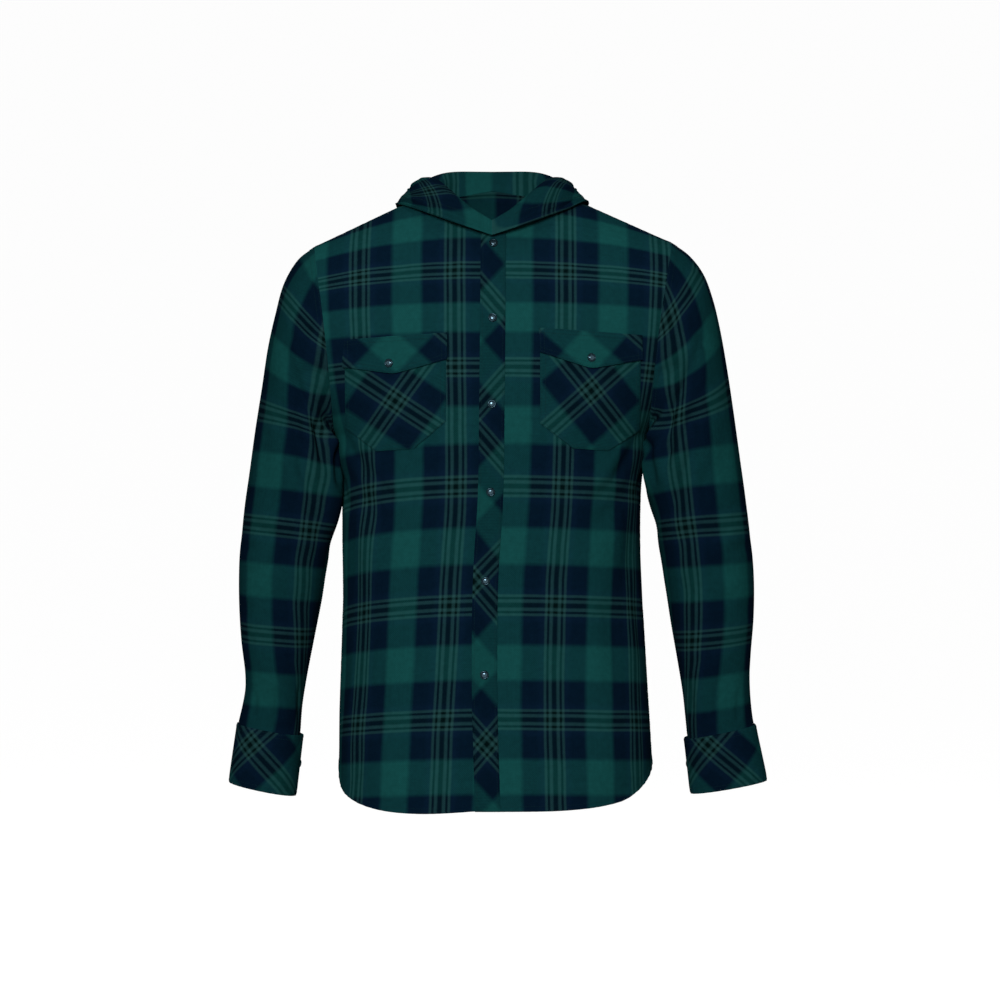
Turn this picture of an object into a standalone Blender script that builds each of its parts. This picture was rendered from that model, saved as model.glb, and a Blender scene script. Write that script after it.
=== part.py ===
"""A hooded snap-front shirt in checked flannel, filled out as if worn, its hood lying back.

Metres. The shirt faces -Y, +Z is up and +X is the wearer's left. The origin lies at the base of
the neck. Each panel is a wall lofted through rings of one torso form, so that panels which are
sewn together share their seam's points and stand a seam's gap apart.
"""

import math

import bmesh
import bpy
import numpy as np
from mathutils import Vector
from mathutils.bvhtree import BVHTree


def table(columns, rows):
    """A short table as a dictionary with an array for each named column."""
    return dict(zip(columns.split(), np.array(rows, float).T))


# Walls and gaps
CLOTH = 0.0012
BAND = 0.0018
CUFF_CLOTH = 0.0020
SEAM = 0.0003
SLEEVE_AGREE = (0.55, 0.80)
HOOD_AGREE = (0.20, 0.70)
LAY = 0.0004
POCKET_LAY = 0.0008

# Grid of each piece: cells along it and across it
ROWS_BELOW_ARM = 12
ROWS_ABOVE_ARM = 14
ROWS_BELOW_NECK = 8
FRONT_COLUMNS = 14
BACK_COLUMNS = 12
BACK_NECK_COLUMNS = 4
SLEEVE_RINGS = 17
HOOD_RINGS = 16
CUFF_ROWS = 3
POCKET_COLUMNS = 12

# Torso: half widths on the viewer's left and right, and depths in front of and behind its middle
TORSO = table("z left right front back", [
    (-0.800, 0.1950, 0.2030, 0.125, 0.118),
    (-0.710, 0.1940, 0.2025, 0.125, 0.118),
    (-0.640, 0.1930, 0.1980, 0.123, 0.113),
    (-0.540, 0.1905, 0.1925, 0.120, 0.104),
    (-0.450, 0.1895, 0.1890, 0.120, 0.099),
    (-0.380, 0.1910, 0.1895, 0.122, 0.102),
    (-0.305, 0.1990, 0.1970, 0.125, 0.113),
    (-0.180, 0.1990, 0.1970, 0.125, 0.124),
    (0.034, 0.1990, 0.1970, 0.122, 0.122),
])
SQUARENESS = 2.3
ARMPIT_Z = -0.305
FRONT_BELOW_ARM = 0.460
WAIST_BELOW_ARM = 0.300
NECK_TOP_Z = 0.034
SHOULDER_SLOPE = {"left": 0.480, "right": 0.450}
SHOULDER_ROUNDING = 0.020
ARCH = {"front": 2.2, "back": 2.6}

# Armhole: how far out it lies at the armpit and at the shoulder, and its half depths
ARMHOLE_LOW = {"left": 0.1990, "right": 0.1970}
ARMHOLE_HIGH = {"left": 0.2245, "right": 0.2275}
ARMHOLE_DEPTH = {"front": 0.074, "back": 0.078}
ARMHOLE_OVAL = 2.2
ARMHOLE_SPREAD = 1.6
ARMHOLE_BEND = 1.5

# Neckline
NECK_HALF_WIDTH = 0.062
FRONT_NECK_RISE = 0.752
BACK_NECK_RISE = 0.935
NECK_ROWS_TURN = 1.1

# Hem, by the ring's angle from the centre front
HEM_FRONT = table("angle left right", [
    (0, -0.7655, -0.7668),
    (25, -0.7705, -0.7660),
    (40, -0.7688, -0.7625),
    (53, -0.7637, -0.7560),
    (61, -0.7590, -0.7480),
    (75, -0.7470, -0.7320),
    (90, -0.7210, -0.7150),
])
HEM_BACK = table("angle left right", [
    (0, -0.7830, -0.7830),
    (40, -0.7780, -0.7770),
    (65, -0.7620, -0.7580),
    (90, -0.7210, -0.7150),
])

# Placket: where its middle runs, and the lap of the fronts under it
PLACKET_MIDDLE = table("z x", [
    (-0.770, -0.0050),
    (-0.600, -0.0090),
    (-0.480, -0.0075),
    (-0.380, -0.0016),
    (-0.270, 0.0000),
    (-0.050, 0.0020),
])
PLACKET_WIDTH = 0.031
PLACKET_BELOW_NECK = 0.004
LAP_SHARE = 0.072
LAP_RAMP = 0.024

# Sleeves: each ring's outer and inner point seen from the front, its half depth and its middle
SLEEVE_COLUMNS = "outer_x outer_z inner_x inner_z depth middle_y"
SLEEVE = {
    "right": table(SLEEVE_COLUMNS, [
        (0.2245, -0.065, 0.1993, -0.305, 0.075, 0.002),
        (0.2465, -0.082, 0.2003, -0.310, 0.076, 0.002),
        (0.2640, -0.112, 0.2006, -0.318, 0.077, 0.001),
        (0.2745, -0.150, 0.2000, -0.330, 0.076, 0.000),
        (0.2840, -0.193, 0.1985, -0.346, 0.074, -0.001),
        (0.2915, -0.243, 0.1962, -0.368, 0.071, -0.002),
        (0.3000, -0.298, 0.1945, -0.396, 0.068, -0.004),
        (0.3075, -0.354, 0.2015, -0.432, 0.064, -0.006),
        (0.3145, -0.405, 0.2090, -0.470, 0.061, -0.009),
        (0.3190, -0.455, 0.2155, -0.512, 0.058, -0.012),
        (0.3195, -0.508, 0.2240, -0.556, 0.054, -0.015),
        (0.3165, -0.560, 0.2330, -0.603, 0.049, -0.018),
        (0.3110, -0.607, 0.2390, -0.640, 0.043, -0.020),
        (0.3125, -0.642, 0.2415, -0.664, 0.039, -0.021),
        (0.3190, -0.674, 0.2428, -0.690, 0.0355, -0.022),
    ]),
    "left": table(SLEEVE_COLUMNS, [
        (0.2275, -0.062, 0.1973, -0.305, 0.075, 0.002),
        (0.2500, -0.077, 0.1983, -0.310, 0.076, 0.002),
        (0.2680, -0.100, 0.1988, -0.317, 0.077, 0.001),
        (0.2800, -0.132, 0.1988, -0.327, 0.076, 0.000),
        (0.2890, -0.170, 0.1982, -0.340, 0.074, -0.001),
        (0.2970, -0.215, 0.1972, -0.356, 0.071, -0.002),
        (0.3045, -0.265, 0.1968, -0.378, 0.068, -0.004),
        (0.3120, -0.320, 0.2045, -0.410, 0.064, -0.006),
        (0.3195, -0.376, 0.2120, -0.450, 0.061, -0.009),
        (0.3265, -0.430, 0.2190, -0.494, 0.058, -0.012),
        (0.3305, -0.482, 0.2260, -0.540, 0.054, -0.015),
        (0.3300, -0.532, 0.2335, -0.584, 0.049, -0.018),
        (0.3260, -0.582, 0.2400, -0.624, 0.044, -0.020),
        (0.3240, -0.630, 0.2437, -0.656, 0.040, -0.021),
        (0.3285, -0.674, 0.2470, -0.694, 0.0345, -0.022),
    ]),
}
SLEEVE_OVAL = 2.15
SLEEVE_CAP_RINGS = 3

# Cuffs: the outer and inner point, half depth and middle of the top and bottom ring
CUFF = {
    "right": table(SLEEVE_COLUMNS, [
        (0.3220, -0.6665, 0.2398, -0.682, 0.0385, -0.022),
        (0.3320, -0.7405, 0.2490, -0.758, 0.0350, -0.024),
    ]),
    "left": table(SLEEVE_COLUMNS, [
        (0.3325, -0.6680, 0.2440, -0.686, 0.0375, -0.022),
        (0.3470, -0.7385, 0.2520, -0.7555, 0.0310, -0.024),
    ]),
}
CUFF_LAP_START = 15
CUFF_LAP_STEPS = 2
CUFF_LAP_RISE = CUFF_CLOTH + 0.0006
CUFF_LAP_RAMP = 60
CUFF_TUCK = 0.12
CUFF_FIT = CUFF_CLOTH + 0.0005
CUFF_SNAP_PLACE = 0.5

# Hood: each ring from the neck seam over the roll, down the pouch behind the back and up again to
# the face edge, by its half width, its ends in front and behind, and its height at three places
HOOD = table("width front back z_front z_side z_back", [
    (0.0620, -0.0860, 0.059, -0.050, 0.012, 0.015),
    (0.0730, -0.0885, 0.070, -0.045, 0.020, 0.031),
    (0.0880, -0.0925, 0.083, -0.042, 0.021, 0.040),
    (0.0990, -0.0965, 0.098, -0.046, 0.015, 0.022),
    (0.1060, -0.0980, 0.112, -0.050, 0.008, -0.055),
    (0.1110, -0.0985, 0.124, -0.053, 0.003, -0.130),
    (0.1150, -0.0990, 0.131, -0.055, 0.000, -0.200),
    (0.1180, -0.0995, 0.149, -0.057, -0.003, -0.203),
    (0.1205, -0.1000, 0.160, -0.058, -0.006, -0.125),
    (0.1220, -0.1005, 0.155, -0.059, -0.008, -0.045),
    (0.1235, -0.1005, 0.139, -0.060, -0.009, 0.010),
])
HOOD_PLAN_BEND = 0.55
HOOD_FRONT_BEND = 1.15
HOOD_BACK_BEND = 3.0
HOOD_CLEARANCE = 0.0030
HOOD_EVEN = 0.7
STAND_PLACES = 3
HOOD_SEARCH = 0.060
HOOD_OVER = 0.003
# How much of its height over the back each ring of the pouch gives up, to lie on it
HOOD_LIE = table("place share", [
    (3.5, 0.0),
    (5.0, 0.80),
    (6.4, 0.85),
    (7.2, 0.50),
    (8.5, 0.36),
    (10.0, 0.25),
])
HOOD_LIE_BEHIND = 0.045
HOOD_LIE_BELOW = (-0.005, -0.085)
STAND_RINGS = 5

# Pockets and flaps, seen from the front
POCKET = {
    "right": dict(middle=-0.1185, half_width=0.0625, top=-0.1930, corner=-0.2930, bottom=-0.3245,
                  bottom_half=0.0235, flap_top=-0.1850, flap_side=0.0330, flap_point=0.0470),
    "left": dict(middle=0.1210, half_width=0.0620, top=-0.1870, corner=-0.2960, bottom=-0.3240,
                 bottom_half=0.0220, flap_top=-0.1790, flap_side=0.0300, flap_point=0.0465),
}
POCKET_DROOP = 0.055
FLAP_OVERHANG = 0.0015
FLAP_POINT_ROUNDING = 0.08
FLAP_LAY = POCKET_LAY + CLOTH + LAY

# Snaps
SNAP_FRONT_Z = (-0.0700, -0.1632, -0.2689, -0.3762, -0.4850, -0.5997)
SNAP_POCKET_RISE = 0.0125
SNAP_PROFILE = table("radius height", [
    (0.0000, 0.0024),
    (0.0030, 0.0022),
    (0.0037, 0.0018),
    (0.0045, 0.0022),
    (0.0053, 0.0012),
    (0.0048, 0.0000),
    (0.0000, 0.0000),
])
SNAP_STEPS = 12

# Largest folds: on the torso by face, place, direction (degrees from level), size and depth
TORSO_FOLDS = table("face x z slant length width depth", [
    (-1, -0.160, -0.385, 130, 0.080, 0.020, -0.0050),
    (-1, 0.158, -0.385, 52, 0.080, 0.020, -0.0050),
    (-1, 0.168, -0.480, 84, 0.140, 0.022, -0.0045),
    (-1, -0.165, -0.570, 94, 0.150, 0.024, -0.0035),
    (-1, 0.100, -0.640, 100, 0.120, 0.026, -0.0030),
    (-1, -0.085, -0.660, 84, 0.110, 0.026, -0.0030),
    (1, -0.150, -0.380, 125, 0.110, 0.022, -0.0050),
    (1, 0.150, -0.380, 55, 0.110, 0.022, -0.0050),
    (1, -0.075, -0.480, 40, 0.120, 0.024, -0.0050),
    (1, 0.080, -0.510, 145, 0.120, 0.024, -0.0050),
    (1, 0.010, -0.600, 88, 0.130, 0.028, -0.0040),
])
# On a sleeve by its share of the length, place round it (degrees from the outside, front first),
# reach along and round, and depth
SLEEVE_FOLDS = table("along around length reach depth", [
    (0.24, 105, 0.035, 34, -0.0060),
    (0.36, 160, 0.030, 40, -0.0045),
    (0.50, 150, 0.026, 46, -0.0055),
    (0.585, 120, 0.026, 50, -0.0060),
    (0.67, 165, 0.026, 46, -0.0045),
    (0.52, 235, 0.026, 50, -0.0060),
    (0.605, 265, 0.026, 44, -0.0045),
    (0.88, 90, 0.030, 22, -0.0030),
    (0.88, 262, 0.030, 22, -0.0030),
])
FOLD_FADE = (8, 10)
FOLD_FACE_DEPTH = 0.06

CLOTH_COLOURS = {
    "panel": (0.012, 0.075, 0.075),
    "sleeve": (0.011, 0.068, 0.070),
    "band": (0.010, 0.055, 0.062),
    "pocket": (0.012, 0.065, 0.070),
    "hood": (0.013, 0.080, 0.078),
}
SNAP_COLOUR = (0.30, 0.32, 0.34)
TURN = 2 * math.pi
SIDES = {"right": -1, "left": 1}


# Small helpers on arrays

def smooth(at, xs, ys):
    """A smooth curve through the points (xs, ys), with xs rising, held level past its ends."""
    slopes = np.gradient(ys, xs)
    at = np.clip(at, xs[0], xs[-1])
    i = np.clip(np.searchsorted(xs, at, side="right") - 1, 0, len(xs) - 2)
    step = xs[i + 1] - xs[i]
    u = (at - xs[i]) / step
    start = (1 + 2 * u) * (1 - u) ** 2 * ys[i] + u * (1 - u) ** 2 * step * slopes[i]
    end = u ** 2 * (3 - 2 * u) * ys[i + 1] - u ** 2 * (1 - u) * step * slopes[i + 1]
    return start + end


def ease(value):
    """0 below 0, 1 above 1, and smooth between."""
    value = np.clip(value, 0, 1)
    return value * value * (3 - 2 * value)


def signed_power(value, exponent):
    return np.sign(value) * np.abs(value) ** exponent


def unit(vectors):
    return vectors / np.maximum(np.linalg.norm(vectors, axis=-1, keepdims=True), 1e-12)


def grid_normals(points, closed=False):
    """The normal at each point of a grid, from its neighbours along and across."""
    along = np.gradient(points, axis=0)
    if closed:
        across = np.roll(points, -1, axis=1) - np.roll(points, 1, axis=1)
    else:
        across = np.gradient(points, axis=1)
    return unit(np.cross(across, along))


def agreed(normals, seam_normals, limits):
    """Normals turned to those of the neighbour over a seam, where the two point nearly the same way."""
    low, high = limits
    likeness = np.sum(seam_normals * normals, axis=-1, keepdims=True)
    share = ease((likeness - low) / (high - low))
    return unit(normals * (1 - share) + seam_normals * share)


def draw_in(points, edges, distance):
    """Moves the named edges of a grid towards its inside by this distance."""
    points = points.copy()
    pairs = {"first_row": (0, 1), "last_row": (-1, -2), "first_column": (0, 1), "last_column": (-1, -2)}
    for edge in edges:
        view = points if edge.endswith("row") else points.transpose(1, 0, 2)
        here, inside = pairs[edge]
        view[here] += distance * unit(view[inside] - view[here])
    return points


# The torso's form

def ridge(x):
    """The height of the shoulder's ridge at this distance from the middle."""
    slope = np.where(x < 0, SHOULDER_SLOPE["left"], SHOULDER_SLOPE["right"])
    return NECK_TOP_Z - slope * (np.hypot(x, SHOULDER_ROUNDING) - SHOULDER_ROUNDING)


def armhole_oval(rise):
    return (1 - np.abs(2 * rise - 1) ** ARMHOLE_OVAL) ** (1 / ARMHOLE_OVAL)


def torso_ring(rise, left, front):
    """Half width and depth of the ring at this rise, and the share of its depth that the armhole takes.

    The rise is in metres below the armpit where it is negative, and a share of the height from
    the armpit to the shoulder's ridge where it is positive.
    """
    above = np.clip(rise, 0, 1)
    z = ARMPIT_Z + np.minimum(rise, 0) + above * (NECK_TOP_Z - ARMPIT_Z)
    width = np.where(left, smooth(z, TORSO["z"], TORSO["left"]), smooth(z, TORSO["z"], TORSO["right"]))
    depth = np.where(front, smooth(z, TORSO["z"], TORSO["front"]), smooth(z, TORSO["z"], TORSO["back"]))
    arch = np.where(front, 1 / ARCH["front"], 1 / ARCH["back"])
    near = np.minimum(above, 0.9999)
    hole = np.where(front, ARMHOLE_DEPTH["front"], ARMHOLE_DEPTH["back"]) * armhole_oval(near)
    share = np.clip(hole / (depth * (1 - near ** 2) ** arch), 0, 0.95)
    low = np.where(left, ARMHOLE_LOW["left"], ARMHOLE_LOW["right"])
    high = np.where(left, ARMHOLE_HIGH["left"], ARMHOLE_HIGH["right"])
    reach = low + (high - low) * above ** ARMHOLE_SPREAD
    width = np.where(rise > 0, reach / (1 - share ** SQUARENESS) ** (1 / SQUARENESS), width)
    return width, depth * (1 - above ** 2) ** arch, share


def torso_smooth(angle, rise):
    """A point of the torso without folds. The angle runs from the centre front towards +X."""
    angle, rise = np.broadcast_arrays(np.asarray(angle, float), np.asarray(rise, float))
    width, depth, _ = torso_ring(rise, np.sin(angle) < 0, np.cos(angle) > 0)
    x = width * signed_power(np.sin(angle), 2 / SQUARENESS)
    y = -depth * signed_power(np.cos(angle), 2 / SQUARENESS)
    z = ARMPIT_Z + np.where(rise > 0, (ridge(x) - ARMPIT_Z) * rise, rise)
    return np.stack([x, y, z], axis=-1)


def torso_normal(angle, rise):
    small = 1e-4
    across = torso_smooth(angle + small, rise) - torso_smooth(angle - small, rise)
    up = torso_smooth(angle, np.minimum(rise + small, 1)) - torso_smooth(angle, rise - small)
    return unit(np.cross(across, up))


def fold_depth(points):
    """How far the torso's folds move each point along its normal."""
    moved = np.zeros(points.shape[:-1])
    folds = TORSO_FOLDS
    for i in range(len(folds["x"])):
        slant = math.radians(folds["slant"][i])
        dx = points[..., 0] - folds["x"][i]
        dz = points[..., 2] - folds["z"][i]
        along = (dx * math.cos(slant) + dz * math.sin(slant)) / folds["length"][i]
        off = (dz * math.cos(slant) - dx * math.sin(slant)) / folds["width"][i]
        face = ease(0.5 + points[..., 1] * folds["face"][i] / FOLD_FACE_DEPTH)
        moved += face * folds["depth"][i] * np.exp(-off ** 2 - (1.6 * along) ** 4)
    return moved


def torso(angle, rise, lift=0.0):
    """Points of the torso with its folds, lifted off it, and their normals."""
    points = torso_smooth(angle, rise)
    normals = torso_normal(angle, rise)
    shift = fold_depth(points) + lift
    return points + normals * shift[..., None], normals


def front_place(x, z):
    """The angle and rise of the point of the torso's front at x and z."""
    rise = np.where(z < ARMPIT_Z, z - ARMPIT_Z, (z - ARMPIT_Z) / (ridge(x) - ARMPIT_Z))
    width, _, _ = torso_ring(rise, x < 0, np.full(np.shape(x), True))
    return np.arcsin(signed_power(x / width, SQUARENESS / 2)), rise


def on_front(x, z, lift):
    x, z = np.broadcast_arrays(np.asarray(x, float), np.asarray(z, float))
    angle, rise = front_place(x, z)
    return torso(angle, rise, lift)


def placket_x(z):
    return smooth(z, PLACKET_MIDDLE["z"], PLACKET_MIDDLE["x"])


# Meshes and materials

def material(name, colour, roughness=0.9, metallic=0.0):
    made = bpy.data.materials.new(name)
    made.use_nodes = True
    shader = made.node_tree.nodes["Principled BSDF"]
    shader.inputs["Base Color"].default_value = (*colour, 1.0)
    shader.inputs["Roughness"].default_value = roughness
    shader.inputs["Metallic"].default_value = metallic
    made.diffuse_color = (*colour, 1.0)
    return made


def add_object(name, mesh, colour, **finish):
    made = bpy.data.objects.new(name, mesh)
    made.data.materials.append(material(name, colour, **finish))
    shirt.objects.link(made)
    return made


def wall_object(name, outside, inside, colour, closed=False):
    """A wall between two grids of the same size, with a rim all round, or at its two ends if closed."""
    rows, columns = outside.shape[:2]
    shape = bmesh.new()
    layers = [[[shape.verts.new(point) for point in row] for row in grid] for grid in (outside, inside)]
    spans = columns if closed else columns - 1
    for layer in layers:
        for r in range(rows - 1):
            for c in range(spans):
                d = (c + 1) % columns
                shape.faces.new((layer[r][c], layer[r][d], layer[r + 1][d], layer[r + 1][c]))
    for r in (0, rows - 1):
        for c in range(spans):
            d = (c + 1) % columns
            shape.faces.new((layers[0][r][c], layers[0][r][d], layers[1][r][d], layers[1][r][c]))
    for c in () if closed else (0, columns - 1):
        for r in range(rows - 1):
            shape.faces.new((layers[0][r][c], layers[0][r + 1][c], layers[1][r + 1][c], layers[1][r][c]))
    bmesh.ops.recalc_face_normals(shape, faces=shape.faces)
    mesh = bpy.data.meshes.new(name)
    shape.to_mesh(mesh)
    shape.free()
    mesh.shade_smooth()
    mesh.set_sharp_from_angle(angle=math.radians(50))
    return add_object(name, mesh, colour)


def patch_object(name, points, thickness, colour):
    """A piece that lies on a panel: a grid with Solidify, thickened away from the panel."""
    rows, columns = points.shape[:2]
    corners = [tuple(point) for row in points for point in row]
    faces = [
        (r * columns + c, r * columns + c + 1, (r + 1) * columns + c + 1, (r + 1) * columns + c)
        for r in range(rows - 1) for c in range(columns - 1)
    ]
    mesh = bpy.data.meshes.new(name)
    mesh.from_pydata(corners, [], faces)
    made = add_object(name, mesh, colour)
    wall = made.modifiers.new("wall", "SOLIDIFY")
    wall.thickness = thickness
    wall.offset = 1.0
    return made


# Fronts and back

def arm_rises():
    """Rises of the rows above the armpit at the armhole, evenly spaced round its oval."""
    return (1 - np.cos(np.linspace(0, math.pi, ROWS_ABOVE_ARM + 1))) / 2


def arm_angle(rise, left, front):
    _, _, share = torso_ring(rise, left, front)
    return np.arccos(share ** (SQUARENESS / 2))


def hem_z(hem, side, angle):
    return smooth(np.degrees(np.abs(angle)), hem["angle"], hem["left" if side < 0 else "right"])


def bend_to_armhole(start, share, arm):
    """The angle at a share of the way from the start to the side, drawn in to the armhole's edge."""
    power = 1 + ARMHOLE_BEND * (arm / (math.pi / 2)) ** 2
    return start + (math.pi / 2 - start) * share - (math.pi / 2 - arm) * share ** power


def free_edge_x(side, z):
    """The front edge of a front panel, on its own side's axis, past the middle and under the placket."""
    return side * placket_x(z) - PLACKET_WIDTH / 2


def front_grid(side):
    """Angles and rises of one front panel's points, from the hem up and from the front edge outwards."""
    share = np.concatenate([[0, LAP_SHARE / 2], np.linspace(LAP_SHARE, 1, FRONT_COLUMNS - 1)])
    angles = []
    rises = []
    for row in range(ROWS_BELOW_ARM):
        level = row / ROWS_BELOW_ARM
        width, _, _ = torso_ring(np.array(-WAIST_BELOW_ARM), side < 0, True)
        edge = free_edge_x(side, ARMPIT_Z - FRONT_BELOW_ARM * (1 - level))
        start = np.arcsin(signed_power(edge / width, SQUARENESS / 2))
        angle = start + (math.pi / 2 - start) * share
        angles.append(side * angle)
        rises.append((hem_z(HEM_FRONT, side, angle) - ARMPIT_Z) * (1 - level))
    centre_rises = np.concatenate([
        FRONT_NECK_RISE / math.sin(NECK_ROWS_TURN) * np.sin(
            np.linspace(0, NECK_ROWS_TURN, ROWS_BELOW_NECK + 1)),
        FRONT_NECK_RISE + (1 - FRONT_NECK_RISE) * (1 - np.cos(
            np.linspace(0, math.pi / 2, ROWS_ABOVE_ARM - ROWS_BELOW_NECK + 1)[1:])),
    ])
    for row, (low, high) in enumerate(zip(centre_rises, arm_rises())):
        round_neck = max(0, row - ROWS_BELOW_NECK) / (ROWS_ABOVE_ARM - ROWS_BELOW_NECK)
        edge = free_edge_x(side, ARMPIT_Z + low * (NECK_TOP_Z - ARMPIT_Z)) * (1 - round_neck) ** 3
        edge += NECK_HALF_WIDTH * math.sin(round_neck * math.pi / 2)
        width, _, _ = torso_ring(np.array(low), side < 0, True)
        start = np.arcsin(signed_power(edge / width, SQUARENESS / 2))
        angles.append(side * bend_to_armhole(start, share, arm_angle(high, side < 0, True)))
        rises.append(low + (high - low) * share ** 2)
    return np.array(angles), np.array(rises)


def back_grid():
    """Angles and rises of the back's points, from the hem up and from the viewer's left to right."""
    share = np.linspace(0, 1, BACK_COLUMNS + 1)
    neck = share[BACK_NECK_COLUMNS]
    halves = []
    for side in (-1, 1):
        left = side < 0
        angles = []
        rises = []
        for row in range(ROWS_BELOW_ARM):
            angle = share * math.pi / 2
            angles.append(angle)
            rises.append((hem_z(HEM_BACK, side, angle) - ARMPIT_Z) * (1 - row / ROWS_BELOW_ARM))
        top = BACK_NECK_RISE + (1 - BACK_NECK_RISE) * np.minimum(share / neck, 1) ** 2
        width, _, _ = torso_ring(np.array(1.0), left, False)
        neck_angle = math.asin((NECK_HALF_WIDTH / width) ** (SQUARENESS / 2))
        for row, high in enumerate(arm_rises()):
            level = row / ROWS_ABOVE_ARM
            arm = arm_angle(high, left, False)
            even = bend_to_armhole(0.0, share, arm)
            split = np.interp(share, (0, neck, 1), (0, neck_angle, arm))
            angles.append(even + (split - even) * level ** 2)
            rises.append(top * (level + (high - level) * share ** 2))
        halves.append((side * np.array(angles), np.array(rises)))
    (left_angles, left_rises), (right_angles, right_rises) = halves
    from_back = np.hstack([left_angles[:, :0:-1], right_angles])
    return math.pi - from_back, np.hstack([left_rises[:, :0:-1], right_rises])


def lap_under(points, normals):
    """Draws the right front in under the left one along the placket."""
    covered = points[..., 0] - placket_x(points[..., 2]) + PLACKET_WIDTH / 2
    under = ease(1 + covered / LAP_RAMP)
    return points - normals * (under * (CLOTH + 2 * LAY))[..., None]


def make_torso():
    """Builds the fronts and the back, and returns the points and normals of each."""
    grids = {}
    for name, side in SIDES.items():
        angles, rises = front_grid(side)
        points, normals = torso(angles, rises)
        if side < 0:
            points = lap_under(points, normals)
        grids["front_" + name] = (points, normals)
    angles, rises = back_grid()
    grids["back"] = torso(angles, rises)
    trimmed = {"back": ("first_column", "last_column", "last_row")}
    for name, (points, normals) in grids.items():
        outside = draw_in(points, trimmed.get(name, ("last_column", "last_row")), SEAM / 2)
        wall_object(name, outside, outside - normals * CLOTH, CLOTH_COLOURS["panel"])
    return grids


# Sleeves and cuffs

def tube_points(rings, place, around, oval):
    """Points round a flattened tube at a place along its table of rings."""
    index = np.arange(len(rings["depth"]), dtype=float)
    if len(index) == 2:
        value = {name: column[0] + (column[1] - column[0]) * place for name, column in rings.items()}
    else:
        value = {name: smooth(place, index, column) for name, column in rings.items()}
    out = signed_power(np.cos(around), 2 / oval)
    forward = signed_power(np.sin(around), 2 / oval)
    x = (value["outer_x"] + value["inner_x"]) / 2 + (value["outer_x"] - value["inner_x"]) / 2 * out
    z = (value["outer_z"] + value["inner_z"]) / 2 + (value["outer_z"] - value["inner_z"]) / 2 * out
    y = value["middle_y"] - value["depth"] * forward
    return np.stack([x, y, z], axis=-1)


def sleeve_folds(along, around):
    """How far the folds move the sleeve's points along their normals."""
    folds = SLEEVE_FOLDS
    moved = np.zeros(along.shape)
    degrees = np.degrees(around) % 360
    for i in range(len(folds["along"])):
        off = (along - folds["along"][i]) / folds["length"][i]
        turn = (degrees - folds["around"][i] + 180) % 360 - 180
        moved += folds["depth"][i] * np.exp(-off ** 2 - (turn / folds["reach"][i]) ** 2)
    return moved


def make_sleeve(name, grids):
    """A sleeve from the armhole's own points down to inside the cuff."""
    side = SIDES[name]
    front, front_normals = grids["front_" + name]
    back, back_normals = grids["back"]
    edge = 0 if side < 0 else -1
    rows = slice(ROWS_BELOW_ARM, None)
    armhole = np.concatenate([back[rows, edge], front[rows, -1][-2:0:-1]])
    armhole_normals = np.concatenate([back_normals[rows, edge], front_normals[rows, -1][-2:0:-1]])
    around = math.pi * (1 + np.arange(2 * ROWS_ABOVE_ARM) / ROWS_ABOVE_ARM)
    last = len(SLEEVE[name]["depth"]) - 1
    places = np.linspace(0, last, SLEEVE_RINGS + 1)[:, None]
    rings = tube_points(SLEEVE[name], places, around, SLEEVE_OVAL)
    start = tube_points(SLEEVE[name], 0.0, around, SLEEVE_OVAL)
    mirrored = armhole * (side, 1, 1)
    rings += (mirrored - start) * (np.clip(1 - places / SLEEVE_CAP_RINGS, 0, 1) ** 2)[..., None]
    rings[0] = mirrored + np.array((SEAM, 0, 0))
    in_cuff = tube_points(CUFF[name], np.array((-CUFF_TUCK / 2, CUFF_TUCK))[:, None], around, SLEEVE_OVAL)
    rings[-2:] = in_cuff - CUFF_FIT * grid_normals(in_cuff, True)
    along, round_it = np.broadcast_arrays(places / last, around)
    fade = ease(along * FOLD_FADE[0]) * ease((1 - along) * FOLD_FADE[1])
    rings += grid_normals(rings, True) * (sleeve_folds(along, round_it) * fade)[..., None]
    normals = grid_normals(rings, True)
    seam_normals = armhole_normals * (side, 1, 1)
    normals[0] = agreed(normals[0], seam_normals, SLEEVE_AGREE)
    outside = rings * (side, 1, 1)
    wall_object("sleeve_" + name, outside, outside - normals * (side, 1, 1) * CLOTH,
                CLOTH_COLOURS["sleeve"], closed=True)


def make_cuff(name):
    """A stiff band round the sleeve's end whose one end laps over the other behind the wrist."""
    side = SIDES[name]
    columns = 2 * ROWS_ABOVE_ARM
    step = TURN / columns
    turned = step * np.arange(columns + CUFF_LAP_STEPS + 1)
    around = step * CUFF_LAP_START + turned
    places = np.linspace(0, 1, CUFF_ROWS + 1)[:, None]
    rings = tube_points(CUFF[name], places, around, SLEEVE_OVAL)
    normals = grid_normals(rings[:, :columns], True)
    normals = np.concatenate([normals, normals[:, :CUFF_LAP_STEPS + 1]], axis=1)
    ramp = math.radians(CUFF_LAP_RAMP)
    rings += normals * (CUFF_LAP_RISE * ease((turned - TURN + ramp) / ramp))[:, None]
    outside = rings * (side, 1, 1)
    wall_object("cuff_" + name, outside, outside - normals * (side, 1, 1) * CUFF_CLOTH,
                CLOTH_COLOURS["band"])


# Hood

def plan_share(turn):
    """How far back a turn lies between a ring's front (-1) and its back (1)."""
    cosine = np.cos(turn)
    return np.where(cosine > 0, -cosine, np.abs(cosine) ** HOOD_PLAN_BEND)


def turn_at(share):
    return np.where(share < 0, np.arccos(np.clip(-share, -1, 1)),
                    np.arccos(-np.clip(share, 0, 1) ** (1 / HOOD_PLAN_BEND)))


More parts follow.
